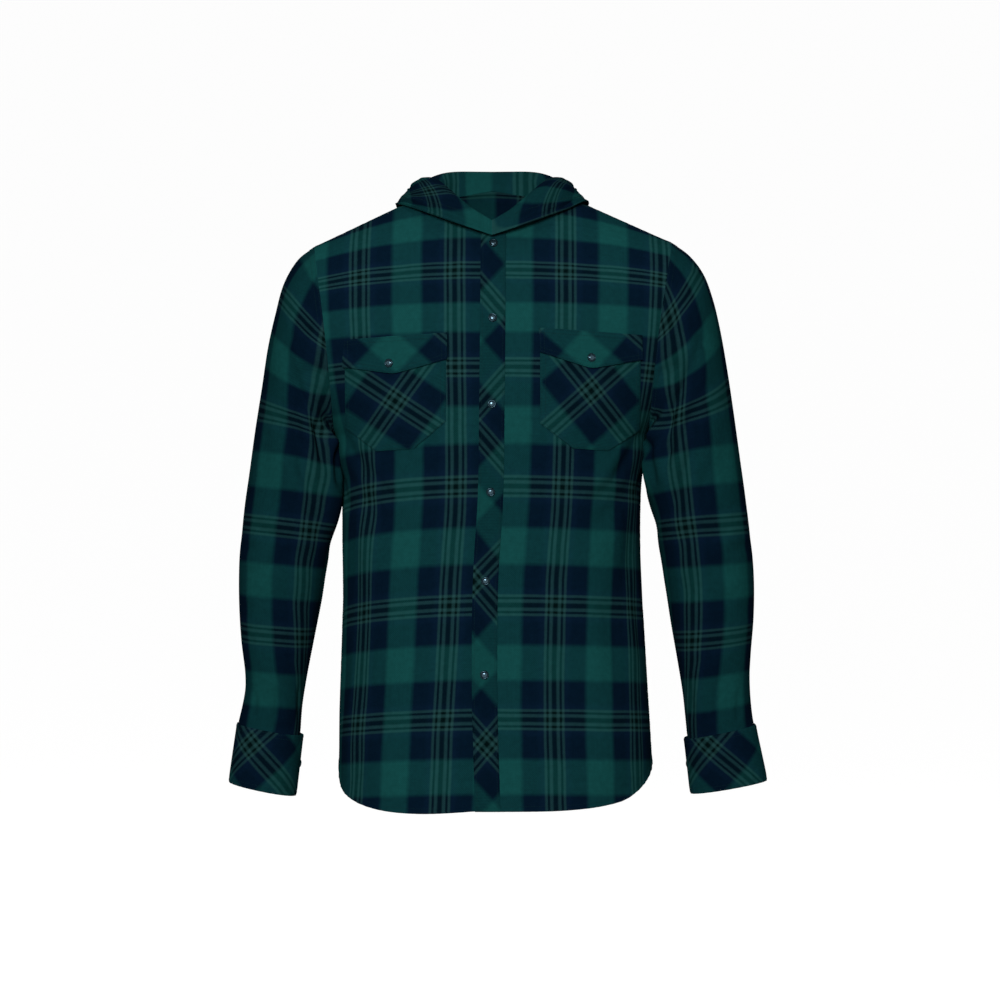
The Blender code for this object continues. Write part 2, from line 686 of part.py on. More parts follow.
def hood_ring(place, turn):
    """A point of the hood at a place among its rings and a turn from the centre front to the back."""
    index = np.arange(len(HOOD["width"]), dtype=float)
    value = {name: smooth(place, index, column) for name, column in HOOD.items()}
    sine = np.sin(turn)
    x = value["width"] * sine
    y = (value["front"] + value["back"] + (value["back"] - value["front"]) * plan_share(turn)) / 2
    in_front = value["z_front"] + (value["z_side"] - value["z_front"]) * sine ** HOOD_FRONT_BEND
    behind = value["z_back"] + (value["z_side"] - value["z_back"]) * sine ** HOOD_BACK_BEND
    return np.stack([x, y, np.where(turn < math.pi / 2, in_front, behind)], axis=-1)


def neck_edge(name, grids):
    """The neckline's points on one side, from the centre front to the centre back, and their normals."""
    side = SIDES[name]
    front, front_normals = grids["front_" + name]
    back, back_normals = grids["back"]
    first = ROWS_BELOW_ARM + ROWS_BELOW_NECK
    middle = BACK_COLUMNS
    if side < 0:
        columns = slice(middle - BACK_NECK_COLUMNS, middle + 1)
    else:
        columns = slice(middle + BACK_NECK_COLUMNS, middle - 1, -1)
    points = np.concatenate([front[first:, 0], back[-1, columns][1:]]) * (side, 1, 1)
    normals = np.concatenate([front_normals[first:, 0], back_normals[-1, columns][1:]]) * (side, 1, 1)
    cross = -points[0, 0] / (points[1, 0] - points[0, 0])
    points[0] += (points[1] - points[0]) * cross
    halfway = (points[1:] + points[:-1]) / 2
    half_normals = unit(normals[1:] + normals[:-1])
    count = 2 * len(points) - 1
    whole = np.empty((count, 3))
    whole_normals = np.empty((count, 3))
    whole[::2], whole[1::2] = points, halfway
    whole_normals[::2], whole_normals[1::2] = normals, half_normals
    return whole, whole_normals


def outer_tree(points, outwards):
    """A search tree over a grid's faces, which face outwards, or inwards as they are listed."""
    rows, columns = points.shape[:2]
    corners = [Vector(point) for row in points for point in row]
    faces = []
    for r in range(rows - 1):
        for c in range(columns - 1):
            first = r * columns + c
            face = (first, first + 1, first + columns + 1, first + columns)
            faces.append(face if outwards else face[::-1])
    return BVHTree.FromPolygons(corners, faces)


def settle(points, beneath):
    """Moves points that lie in or too near the panels beneath out to a clearance over them."""
    settled = points.copy()
    for place in np.ndindex(points.shape[:2]):
        for tree in beneath:
            near, normal, _, distance = tree.find_nearest(Vector(settled[place]), HOOD_SEARCH)
            if near is None:
                continue
            height = (Vector(settled[place]) - near).dot(normal)
            along = distance ** 2 - height ** 2
            if height < HOOD_CLEARANCE and along < HOOD_OVER ** 2:
                settled[place] += np.array(normal) * (HOOD_CLEARANCE - height)
    return settled


def lie_on_back(points, places, back_tree):
    """Lets the pouch down towards the back, each ring by its share of its height over it."""
    start, full = HOOD_LIE_BELOW
    shares = smooth(places, HOOD_LIE["place"], HOOD_LIE["share"])[:, None]
    shares = shares * ease(points[..., 1] / HOOD_LIE_BEHIND)
    shares = shares * ease((points[..., 2] - start) / (full - start))
    lowered = points.copy()
    for place in np.ndindex(points.shape[:2]):
        near, normal, _, _ = back_tree.find_nearest(Vector(points[place]))
        height = (Vector(points[place]) - near).dot(normal)
        lowered[place] -= np.array(normal) * shares[place] * max(0, height - HOOD_CLEARANCE)
    return lowered


def make_hood(name, grids, beneath):
    """One half of the hood, from the neck seam to the face edge."""
    side = SIDES[name]
    edge, edge_normals = neck_edge(name, grids)
    front, back = HOOD["front"][0], HOOD["back"][0]
    turn = turn_at((2 * edge[:, 1] - front - back) / (back - front))
    turn[0], turn[-1] = 0, math.pi
    last = len(HOOD["width"]) - 1
    places = np.linspace(0, last, HOOD_RINGS + 1)[:, None]
    behind = turn > math.pi / 2
    even = turn.copy()
    even[behind] = np.linspace(turn[behind][0], math.pi, behind.sum())
    turn = turn + (even - turn) * HOOD_EVEN * ease(places / STAND_PLACES)
    rings = hood_ring(places, turn)
    rings += (edge - rings[0]) * (np.clip(1 - places, 0, 1) ** 2)[..., None]
    rings[0] = edge + SEAM * unit(rings[1] - edge)
    outside = rings * (side, 1, 1)
    lowered = lie_on_back(outside[STAND_RINGS:], places[STAND_RINGS:, 0], beneath[-1])
    outside[STAND_RINGS:] = settle(lowered, beneath)
    outside[:, 0, 0] = side * SEAM
    outside[:, -1, 0] = side * SEAM / 2
    normals = grid_normals(outside) * side
    seam_normals = edge_normals * (side, 1, 1)
    normals[0] = agreed(normals[0], seam_normals, HOOD_AGREE)
    normals[:, (0, -1), 0] = 0
    normals = unit(normals)
    wall_object("hood_" + name, outside, outside - normals * CLOTH, CLOTH_COLOURS["hood"])


# Pieces that lie on the fronts

def make_placket():
    rows = ROWS_BELOW_ARM + ROWS_BELOW_NECK
    angles, rises = front_grid(1)
    heights = torso_smooth(angles, rises)[:rows + 1, 0, 2]
    heights[-1] -= PLACKET_BELOW_NECK
    across = np.linspace(-0.5, 0.5, 3) * PLACKET_WIDTH
    x = placket_x(heights)[:, None] + across
    points, _ = on_front(x, heights[:, None], LAY)
    patch_object("placket", points, BAND, CLOTH_COLOURS["band"])


def drooped(size, x, z):
    """The height z on a pocket, lower towards the side of the body."""
    return z - POCKET_DROOP * (np.abs(x) - abs(size["middle"]))


def make_pocket(name):
    size = POCKET[name]
    heights = np.concatenate([
        np.linspace(size["top"], size["corner"], 7),
        np.linspace(size["corner"], size["bottom"], 3)[1:],
    ])[:, None]
    drops = (-size["corner"], -size["bottom"])
    halves = np.interp(-heights, drops, (size["half_width"], size["bottom_half"]))
    x = size["middle"] + halves * np.linspace(-1, 1, POCKET_COLUMNS + 1)
    points, _ = on_front(x, drooped(size, x, heights), POCKET_LAY)
    patch_object("pocket_" + name, points[::-1], CLOTH, CLOTH_COLOURS["pocket"])


def flap_bottom(size, across):
    """The drop of the flap's lower edge below its top, at a share -1 to 1 of its half width."""
    rounded = np.hypot(across, FLAP_POINT_ROUNDING)
    return size["flap_point"] - (size["flap_point"] - size["flap_side"]) * rounded


def make_flap(name):
    size = POCKET[name]
    across = np.linspace(-1, 1, POCKET_COLUMNS + 1)
    down = np.linspace(0, 1, 4)[:, None]
    x = size["middle"] + (size["half_width"] + FLAP_OVERHANG) * across + 0 * down
    z = size["flap_top"] - down * flap_bottom(size, across)
    points, _ = on_front(x, drooped(size, x, z), FLAP_LAY)
    patch_object("flap_" + name, points[::-1], CLOTH, CLOTH_COLOURS["pocket"])


# Snaps

def make_snap(name, place, facing):
    """A snap's cap turned from its profile, standing on the cloth at this place."""
    mesh = bpy.data.meshes.new(name)
    profile = [(radius, 0, height) for radius, height in zip(SNAP_PROFILE["radius"], SNAP_PROFILE["height"])]
    mesh.from_pydata(profile, [(i, i + 1) for i in range(len(profile) - 1)], [])
    snap = add_object(name, mesh, SNAP_COLOUR, roughness=0.25, metallic=0.6)
    turned = snap.modifiers.new("turn", "SCREW")
    turned.steps = SNAP_STEPS
    turned.render_steps = SNAP_STEPS
    turned.use_merge_vertices = True
    turned.merge_threshold = 0.00005
    snap.location = Vector(place) + Vector(facing) * LAY
    snap.rotation_mode = "QUATERNION"
    snap.rotation_quaternion = Vector(facing).to_track_quat("Z", "Y")


def make_snaps():
    for number, z in enumerate(SNAP_FRONT_Z, 1):
        place, facing = on_front(placket_x(z), z, LAY + BAND)
        make_snap(f"snap_front_{number}", place, facing)
    for name, size in POCKET.items():
        point = size["flap_top"] - flap_bottom(size, 0.0) + SNAP_POCKET_RISE
        place, facing = on_front(size["middle"], point, FLAP_LAY + CLOTH)
        make_snap("snap_pocket_" + name, place, facing)
    for name, side in SIDES.items():
        middle = (CUFF_LAP_START + CUFF_LAP_STEPS / 2) * math.pi / ROWS_ABOVE_ARM
        near = np.array((-0.02, 0.0, 0.02))
        patch = tube_points(CUFF[name], CUFF_SNAP_PLACE + near[:, None], middle + near, SLEEVE_OVAL)
        facing = grid_normals(patch)[1, 1] * (side, 1, 1)
        make_snap("snap_cuff_" + name, patch[1, 1] * (side, 1, 1) + facing * CUFF_LAP_RISE, facing)


for left_over in list(bpy.data.objects):
    bpy.data.objects.remove(left_over)

shirt = bpy.data.collections.new("hooded_flannel_shirt")
bpy.context.scene.collection.children.link(shirt)

torso_grids = make_torso()
make_placket()
for wearer_side in SIDES:
    make_sleeve(wearer_side, torso_grids)
    make_cuff(wearer_side)
    make_pocket(wearer_side)
    make_flap(wearer_side)
make_snaps()

body_trees = [
    outer_tree(torso_grids["front_left"][0] + torso_grids["front_left"][1] * (BAND + LAY), True),
    outer_tree(torso_grids["front_right"][0], False),
    outer_tree(torso_grids["back"][0], False),
]
for wearer_side in SIDES:
    make_hood(wearer_side, torso_grids, body_trees)
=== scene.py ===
import math
import bmesh
import bpy
import numpy as np
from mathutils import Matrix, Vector
from mathutils.bvhtree import BVHTree


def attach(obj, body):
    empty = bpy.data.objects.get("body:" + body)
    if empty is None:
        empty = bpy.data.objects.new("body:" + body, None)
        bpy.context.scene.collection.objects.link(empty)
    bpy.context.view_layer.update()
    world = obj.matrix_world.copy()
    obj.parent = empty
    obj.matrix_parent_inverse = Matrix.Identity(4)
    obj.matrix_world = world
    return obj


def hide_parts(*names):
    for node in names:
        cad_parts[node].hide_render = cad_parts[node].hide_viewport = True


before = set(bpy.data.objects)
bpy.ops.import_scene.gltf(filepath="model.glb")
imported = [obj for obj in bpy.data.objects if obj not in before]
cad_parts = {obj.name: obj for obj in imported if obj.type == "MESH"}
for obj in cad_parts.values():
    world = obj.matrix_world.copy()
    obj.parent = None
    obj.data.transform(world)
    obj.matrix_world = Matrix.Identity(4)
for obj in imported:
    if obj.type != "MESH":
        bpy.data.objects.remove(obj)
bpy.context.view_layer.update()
print("frame loaded:", len(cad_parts), "solids")


# Tables, curves and grids

def tableOf(columns, rows):  # a short table as a dictionary of arrays
    return dict(zip(columns.split(), np.array(rows, float).T))


def rowsOf(table):
    return [dict(zip(table, row)) for row in zip(*table.values())]


def smoothAt(at, xs, ys):  # a smooth curve through points, level past its ends
    slopes = np.gradient(ys, xs)
    at = np.clip(at, xs[0], xs[-1])
    i = np.clip(np.searchsorted(xs, at, side="right") - 1, 0, len(xs) - 2)
    step = xs[i + 1] - xs[i]
    u = (at - xs[i]) / step
    start = (1 + 2 * u) * (1 - u) ** 2 * ys[i] + u * (1 - u) ** 2 * step * slopes[i]
    end = u ** 2 * (3 - 2 * u) * ys[i + 1] - u ** 2 * (1 - u) * step * slopes[i + 1]
    return start + end


def read(table, column, at):  # a column of a table, smooth between the places in its first column
    return smoothAt(at, next(iter(table.values())), table[column])


def readRings(rings, place):  # every column of a table of rings, smooth between the rings
    count = len(next(iter(rings.values())))
    if count == 2:
        return {name: first + (last - first) * place for name, (first, last) in rings.items()}
    index = np.arange(count, dtype=float)
    return {name: smoothAt(place, index, column) for name, column in rings.items()}


def ease(value):
    value = np.clip(value, 0, 1)
    return value * value * (3 - 2 * value)


def between(value, limits):  # 0 at the first limit, 1 at the second
    low, high = limits
    return ease((value - low) / (high - low))


def turnedEdge(away, width, blend):  # 1 on a turned edge of this width, 0 past it
    return ease((width - away) / blend + 0.5)


def bell(value, middle, width):
    return np.exp(-((value - middle) / width) ** 2)


def signedPower(value, exponent):
    return np.sign(value) * np.abs(value) ** exponent


def unit(vectors):
    return vectors / np.maximum(np.linalg.norm(vectors, axis=-1, keepdims=True), 1e-12)


def gridNormals(points, closed=False):
    along = np.gradient(points, axis=0)
    if closed:
        across = np.roll(points, -1, axis=1) - np.roll(points, 1, axis=1)
    else:
        across = np.gradient(points, axis=1)
    return unit(np.cross(across, along))


def agreed(normals, seamNormals, limits):  # turned to the neighbour's where the two are alike
    share = between(np.sum(seamNormals * normals, axis=-1, keepdims=True), limits)
    return unit(normals * (1 - share) + seamNormals * share)


def edgeDistance(points, edge):  # how far each point of a grid lies from one of its edges
    axis = 0 if edge.endswith("Row") else 1
    line = points if edge.startswith("first") else np.flip(points, axis)
    steps = np.linalg.norm(np.diff(line, axis=axis), axis=-1)
    run = np.cumsum(steps, axis=axis)
    run = np.concatenate([np.zeros_like(np.take(run, [0], axis)), run], axis)
    return run if edge.startswith("first") else np.flip(run, axis)


def edgeDistances(points):
    return [edgeDistance(points, edge) for edge in ("firstRow", "lastRow", "firstColumn", "lastColumn")]


def lineBeside(points, normals, edge, distance):  # the line at this distance from a grid's edge
    away = edgeDistance(points, edge)
    if edge.endswith("Row"):
        away, points, normals = away.T, points.transpose(1, 0, 2), normals.transpose(1, 0, 2)
    if edge.startswith("last"):
        away, points, normals = away[:, ::-1], points[:, ::-1], normals[:, ::-1]
    rows = np.arange(len(away))
    far = np.clip((away < distance).sum(axis=1), 1, away.shape[1] - 1)
    low, high = away[rows, far - 1], away[rows, far]
    share = np.clip((distance - low) / np.maximum(high - low, 1e-9), 0, 1)[:, None]
    place = points[rows, far - 1] * (1 - share) + points[rows, far] * share
    facing = normals[rows, far - 1] * (1 - share) + normals[rows, far] * share
    return place, unit(facing)


def seamLines(points, normals, edges, distances, start=None, end=None):  # to stitch, their ends trimmed
    lines = [lineBeside(points, normals, edge, distance)
             for edge in edges.split() for distance in distances]
    return [(line[start:end], facing[start:end]) for line, facing in lines]


def pointsAt(at, run, line):
    return np.stack([np.interp(at, run, line[:, k]) for k in range(3)], axis=1)


# Each ridge beside a trough has a share of its depth, a place and a width
creaseForm = dict(ridges=((0.42, 1.9, 1.25), (0.22, -1.8, 1.1)), fade=1.6)
ripple = dict(fine=610, drift=2.1, slow=83, second=397, secondShare=0.6, secondPhase=1.3)


def slanted(a, b, row):  # along a crease in shares of its length, off it in metres, and how it fades
    turn, da, db = math.radians(row["slant"]), a - row["a"], b - row["b"]
    along = (da * math.cos(turn) + db * math.sin(turn)) / row["length"]
    return along, db * math.cos(turn) - da * math.sin(turn), np.exp(-(creaseForm["fade"] * along) ** 4)


def creaseLift(a, b, creases):  # troughs with softer ridges beside them, each placed one by one
    lift = np.zeros(np.broadcast(a, b).shape)
    for row in rowsOf(creases):
        along, off, fade = slanted(a, b, row)
        off = (off - row["bend"] * row["length"] * along ** 2) / row["width"]
        beside = sum(share * bell(off, *place) for share, *place in creaseForm["ridges"])
        lift += row["depth"] * (bell(off, 0, 1) - beside) * fade
    return lift


def puckers(along, away, reach, size):  # small uneven ripples beside a stitched edge
    wave = np.sin(along * ripple["fine"] + ripple["drift"] * np.sin(along * ripple["slow"]))
    wave = wave + ripple["secondShare"] * np.sin(along * ripple["second"] + ripple["secondPhase"])
    return size * wave * bell(away, 0, reach)


# Walls, seam allowances and the torso's form, as in the solids

wall = dict(cloth=0.0012, band=0.0018, cuff=0.0020, lay=0.0004, pocketLay=0.0008,
            sleeveAgree=(0.55, 0.80), hoodAgree=(0.20, 0.70), sharpFrom=48)

# Pairs of values are for the sides left and right of the picture, or for the front and the back
body = dict(
    rings=tableOf("z left right front back", [
        (-0.800, 0.1950, 0.2030, 0.125, 0.118),
        (-0.710, 0.1940, 0.2025, 0.125, 0.118),
        (-0.640, 0.1930, 0.1980, 0.123, 0.113),
        (-0.540, 0.1905, 0.1925, 0.120, 0.104),
        (-0.450, 0.1895, 0.1890, 0.120, 0.099),
        (-0.380, 0.1910, 0.1895, 0.122, 0.102),
        (-0.305, 0.1990, 0.1970, 0.125, 0.113),
        (-0.180, 0.1990, 0.1970, 0.125, 0.124),
        (0.034, 0.1990, 0.1970, 0.122, 0.122),
    ]),
    squareness=2.3, armpit=-0.305, neckTop=0.034, frontBelowArm=0.460, waistBelowArm=0.300,
    slope=(0.480, 0.450), shoulderRounding=0.020, arch=(2.2, 2.6),
    armLow=(0.1990, 0.1970), armHigh=(0.2245, 0.2275), armDepth=(0.074, 0.078),
    armOval=2.2, armSpread=1.6, armBend=1.5, armShare=0.95, roundUntil=0.9999, seamFade=0.08,
    neckHalf=0.062, frontNeckRise=0.752, backNeckRise=0.935, neckTurn=1.1,
    lowRows=100, highRows=70, neckRow=40, frontColumns=72, backColumns=60, backNeckColumn=20,
    seam=dict(width=0.0085, lift=0.0004, pucker=0.00010), seamStitches=(0.0016, 0.0073),
    faceBlend=0.06, frontFacing=(0.15, 0.65), sideFacing=(0.45, 0.85),
)

hem = dict(
    front=tableOf("angle left right", [
        (0, -0.7655, -0.7668), (25, -0.7705, -0.7660), (40, -0.7688, -0.7625), (53, -0.7637, -0.7560),
        (61, -0.7590, -0.7480), (75, -0.7470, -0.7320), (90, -0.7210, -0.7150),
    ]),
    back=tableOf("angle left right", [
        (0, -0.7830, -0.7830), (40, -0.7780, -0.7770), (65, -0.7620, -0.7580), (90, -0.7210, -0.7150),
    ]),
    seam=dict(width=0.0075, lift=0.0005, pucker=0.00028), stitches=(0.0063,), underLap=14,
)

placket = dict(
    middle=tableOf("z x", [(-0.770, -0.0050), (-0.600, -0.0090), (-0.480, -0.0075),
                           (-0.380, -0.0016), (-0.270, 0.0000), (-0.050, 0.0020)]),
    width=0.031, belowNeck=0.004, lapRamp=0.024, rows=236, columns=16,
    marks=((0.0011, 0, 0.0009), (0.00022, 0.0032, 0.0008)), seams=[("firstColumn lastColumn", (0.0032,))],
    pucker=dict(across=0.0, up=1.0, until=0.012, reach=0.006, size=0.00022),
    swell=dict(height=0.0003, half=0.008, share=0.6, waves=58),
    angles=(-48.7, 48.5), warpAt=-0.1415, weftAt=-0.6856,
)

largeFolds = tableOf("face a b slant length width depth", [
    (-1, -0.160, -0.385, 130, 0.080, 0.020, -0.0050),
    (-1, 0.158, -0.385, 52, 0.080, 0.020, -0.0050),
    (-1, 0.168, -0.480, 84, 0.140, 0.022, -0.0045),
    (-1, -0.165, -0.570, 94, 0.150, 0.024, -0.0035),
    (-1, 0.100, -0.640, 100, 0.120, 0.026, -0.0030),
    (-1, -0.085, -0.660, 84, 0.110, 0.026, -0.0030),
    (1, -0.150, -0.380, 125, 0.110, 0.022, -0.0050),
    (1, 0.150, -0.380, 55, 0.110, 0.022, -0.0050),
    (1, -0.075, -0.480, 40, 0.120, 0.024, -0.0050),
    (1, 0.080, -0.510, 145, 0.120, 0.024, -0.0050),
    (1, 0.010, -0.600, 88, 0.130, 0.028, -0.0040),
])

creaseColumns = "a b slant length width depth bend"
frontCreases = tableOf(creaseColumns, [
    (-0.172, -0.330, 118, 0.060, 0.0065, -0.0022, 0.10),
    (-0.150, -0.352, 128, 0.070, 0.0080, -0.0020, -0.08),
    (0.170, -0.328, 60, 0.058, 0.0065, -0.0021, -0.12),
    (0.152, -0.360, 50, 0.066, 0.0075, -0.0018, 0.10),
    (-0.178, -0.430, 96, 0.085, 0.0090, -0.0018, 0.05),
    (0.176, -0.440, 86, 0.070, 0.0085, -0.0022, -0.05),
    (0.150, -0.560, 98, 0.095, 0.0120, -0.0014, 0.07),
    (-0.140, -0.640, 82, 0.080, 0.0120, -0.0013, -0.06),
    (-0.050, -0.715, 93, 0.055, 0.0110, -0.0010, 0.05),
    (0.060, -0.720, 88, 0.060, 0.0120, -0.0010, -0.05),
    (0.165, -0.690, 104, 0.060, 0.0110, -0.0013, 0.06),
    (-0.165, -0.715, 78, 0.050, 0.0100, -0.0012, 0.04),
    (-0.130, -0.110, 32, 0.060, 0.0110, -0.0010, 0.10),
    (0.135, -0.105, 146, 0.060, 0.0110, -0.0010, -0.10),
    (-0.048, -0.075, 68, 0.040, 0.0080, -0.0009, 0.08),
    (0.052, -0.070, 112, 0.040, 0.0080, -0.0009, -0.08),
    (-0.060, -0.345, 12, 0.050, 0.0100, -0.0008, 0.10),
    (0.075, -0.480, 166, 0.060, 0.0110, -0.0008, -0.12),
    (-0.100, -0.510, 20, 0.060, 0.0120, -0.0008, 0.10),
])
backCreases = tableOf(creaseColumns, [
    (-0.165, -0.345, 122, 0.070, 0.0085, -0.0022, 0.10),
    (0.168, -0.350, 58, 0.072, 0.0085, -0.0022, -0.10),
    (-0.130, -0.410, 140, 0.080, 0.0100, -0.0020, -0.12),
    (0.125, -0.415, 42, 0.078, 0.0100, -0.0020, 0.12),
    (-0.040, -0.440, 24, 0.085, 0.0120, -0.0018, 0.14),
    (0.060, -0.470, 158, 0.080, 0.0120, -0.0016, -0.14),
    (-0.110, -0.530, 52, 0.075, 0.0120, -0.0015, 0.10),
    (0.105, -0.570, 128, 0.090, 0.0130, -0.0015, -0.08),
    (-0.070, -0.680, 86, 0.085, 0.0130, -0.0014, 0.06),
    (0.075, -0.700, 96, 0.075, 0.0130, -0.0013, -0.06),
    (0.010, -0.710, 90, 0.060, 0.0120, -0.0011, 0.05),
    (-0.150, -0.660, 100, 0.090, 0.0120, -0.0015, 0.06),
    (0.160, -0.650, 80, 0.085, 0.0120, -0.0015, -0.06),
    (-0.090, -0.200, 66, 0.085, 0.0130, -0.0012, 0.10),
    (0.095, -0.195, 114, 0.080, 0.0130, -0.0012, -0.10),
])
sideCreases = tableOf(creaseColumns, [
    (-0.020, -0.350, 62, 0.050, 0.0080, -0.0020, 0.10),
    (0.030, -0.370, 118, 0.055, 0.0085, -0.0020, -0.10),
    (0.010, -0.470, 84, 0.080, 0.0100, -0.0016, 0.06),
    (-0.045, -0.540, 96, 0.070, 0.0100, -0.0014, -0.06),
    (0.040, -0.620, 88, 0.080, 0.0110, -0.0014, 0.05),
    (-0.010, -0.670, 94, 0.045, 0.0090, -0.0012, -0.05),
])


def ridge(x):  # the height of the shoulder line
    rounding = body["shoulderRounding"]
    return body["neckTop"] - np.where(x < 0, *body["slope"]) * (np.hypot(x, rounding) - rounding)


def torsoRing(rise, left, front):  # half width, depth and the armhole's share of the depth
    above = np.clip(rise, 0, 1)
    near = np.minimum(above, body["roundUntil"])
    z = body["armpit"] + np.minimum(rise, 0) + above * (body["neckTop"] - body["armpit"])
    width = np.where(left, *(read(body["rings"], name, z) for name in ("left", "right")))
    depth = np.where(front, *(read(body["rings"], name, z) for name in ("front", "back")))
    arch = 1 / np.where(front, *body["arch"])
    oval = (1 - np.abs(2 * near - 1) ** body["armOval"]) ** (1 / body["armOval"])
    hole = np.where(front, *body["armDepth"]) * oval
    share = np.clip(hole / (depth * (1 - near ** 2) ** arch), 0, body["armShare"])
    low, high = np.where(left, *body["armLow"]), np.where(left, *body["armHigh"])
    reach = low + (high - low) * above ** body["armSpread"]
    square = body["squareness"]
    width = np.where(rise > 0, reach / (1 - share ** square) ** (1 / square), width)
    return width, depth * (1 - above ** 2) ** arch, share


def angleAt(x, width):
    return np.arcsin(signedPower(x / width, body["squareness"] / 2))


def torsoSmooth(angle, rise):
    angle, rise = np.broadcast_arrays(np.asarray(angle, float), np.asarray(rise, float))
    width, depth, _ = torsoRing(rise, np.sin(angle) < 0, np.cos(angle) > 0)
    x = width * signedPower(np.sin(angle), 2 / body["squareness"])
    y = -depth * signedPower(np.cos(angle), 2 / body["squareness"])
    z = body["armpit"] + np.where(rise > 0, (ridge(x) - body["armpit"]) * rise, rise)
    return np.stack([x, y, z], axis=-1)


def torsoNormal(angle, rise):
    small = 1e-4
    across = torsoSmooth(angle + small, rise) - torsoSmooth(angle - small, rise)
    up = torsoSmooth(angle, np.minimum(rise + small, 1)) - torsoSmooth(angle, rise - small)
    return unit(np.cross(across, up))


def foldDepth(points, normals):  # the solids' own large folds, and the finer creases on them
    moved = np.zeros(points.shape[:-1])
    x, y, z = points[..., 0], points[..., 1], points[..., 2]
    for row in rowsOf(largeFolds):
        _, off, fade = slanted(x, z, row)
        face = ease(0.5 + y * row["face"] / body["faceBlend"])
        moved += face * row["depth"] * bell(off, 0, row["width"]) * fade
    for facing, limits, a, creases in (
            (-normals[..., 1], body["frontFacing"], x, frontCreases),
            (normals[..., 1], body["frontFacing"], x, backCreases),
            (np.abs(normals[..., 0]), body["sideFacing"], y * np.sign(x), sideCreases)):
        moved += between(facing, limits) * creaseLift(a, z, creases)
    return moved


def torsoAt(angle, rise, lift=0.0):
    points, normals = torsoSmooth(angle, rise), torsoNormal(angle, rise)
    edge = ease((1 - np.clip(rise, 0, 1)) / body["seamFade"])
    shift = foldDepth(points, normals) * edge + lift
    return points + normals * shift[..., None], normals


def onFront(x, z, lift):
    x, z = np.broadcast_arrays(np.asarray(x, float), np.asarray(z, float))
    below = z - body["armpit"]
    rise = np.where(below < 0, below, below / (ridge(x) - body["armpit"]))
    width, _, _ = torsoRing(rise, x < 0, True)
    return torsoAt(angleAt(x, width), rise, lift)


def placketX(z):
    return read(placket["middle"], "x", z)


# The check: where the cloth's threads run on the form, in metres of flat cloth

grain = dict(
    weft=tableOf("arc v", [(-0.480, -0.134), (-0.349, 0.0), (-0.2094, 0.143), (-0.0639, 0.286),
                           (0.082, 0.429), (0.2045, 0.572), (0.450, 0.842)]),
    droopLeft=tableOf("z drop", [(-0.75, 0.012), (-0.50, 0.016), (-0.35, 0.014), (-0.22, 0.0),
                                 (-0.10, -0.005), (0.04, -0.006)]),
    droopRight=tableOf("z drop", [(-0.75, 0.008), (-0.50, 0.007), (-0.35, 0.006), (-0.22, -0.002),
                                  (-0.10, -0.011), (0.04, -0.012)]),
    groupLeft=-0.0477, groupRight=0.0898, groupBack=-0.0737,
    slipLeft=tableOf("z slip", [(-0.77, -0.012), (-0.68, -0.006), (-0.60, 0.0), (-0.05, 0.0)]),
    slipRight=tableOf("z slip", [(-0.77, -0.006), (-0.45, -0.002), (-0.25, 0.0), (-0.05, 0.0)]),
    droopReach=0.2, arcSteps=20, columnSteps=16,
)


def pathLength(places):
    return sum(np.linalg.norm(after - before, axis=-1) for before, after in zip(places, places[1:]))


def torsoCloth(angles, rises, panel):
    points = torsoSmooth(angles, rises)
    x, z = points[..., 0], points[..., 2]
    start = math.pi if panel == "back" else 0.0
    shares = np.linspace(0, 1, grain["arcSteps"] + 1)
    arc = pathLength([torsoSmooth(start + (angles - start) * share, rises)[..., :2] for share in shares])
    arc = arc * np.sign(x)
    above, shares = np.maximum(rises, 0), np.linspace(0, 1, grain["columnSteps"] + 1)
    upwards = np.minimum(rises, 0) + pathLength([torsoSmooth(angles, above * share) for share in shares])
    droop = np.where(x < 0, *(read(grain["droop" + word], "drop", z) for word in ("Left", "Right")))
    v = read(grain["weft"], "v", upwards) + droop * (arc / grain["droopReach"]) ** 2
    if panel == "back":
        return np.stack([arc - grain["groupBack"], v], axis=-1)
    word = "Left" if panel == "frontRight" else "Right"  # the side of the picture
    slip = read(grain["slip" + word], "slip", z)
    return np.stack([arc - placketX(z) - grain["group" + word] - slip, v], axis=-1)


def biasCloth(s, t, centre, angles):  # a piece cut on the bias, by the directions of its stripes
    ds, dt = s - centre[0], t - centre[1]
    return np.stack([dt * math.cos(turn) - ds * math.sin(turn) for turn in np.radians(angles)], axis=-1)


# Shader nodes, and the groups that several materials share

# Each narrow stripe has a colour, a start and an end, from the middle of its group
flannel = dict(
    warpRepeat=0.1190, weftRepeat=0.1430, warpGreen=0.0185, weftGreen=0.0222,
    navy=(0.0016, 0.0085, 0.0230), green=(0.0080, 0.0810, 0.0780), light=(0.0210, 0.0760, 0.0780),
    dark=(0.0004, 0.0050, 0.0055), blue=(0.0030, 0.0120, 0.0340),
    stripes=(("dark", 0.0, 0.0020), ("light", 0.0040, 0.0064), ("dark", 0.0078, 0.0094),
             ("light", 0.0106, 0.0124), ("blue", 0.0142, 0.0170)),
    navyFrom=0.0230, navyBefore=0.0026, greenAfter=0.0030,
    wanderNoise=(22, 1.0), wander=(0.0012, -0.0006), yarnBright=(0.36, 0.82), alongYarn=14, acrossYarn=1500,
)


def stopsOf(half, greenHalf):  # half a repeat, from the middle of the stripes to that of the green
    edge = half - greenHalf
    bands = (*flannel["stripes"], ("navy", flannel["navyFrom"], edge - flannel["navyBefore"]),
             ("green", edge + flannel["greenAfter"], half))
    return [(place / half, flannel[name]) for name, *ends in bands for place in ends]


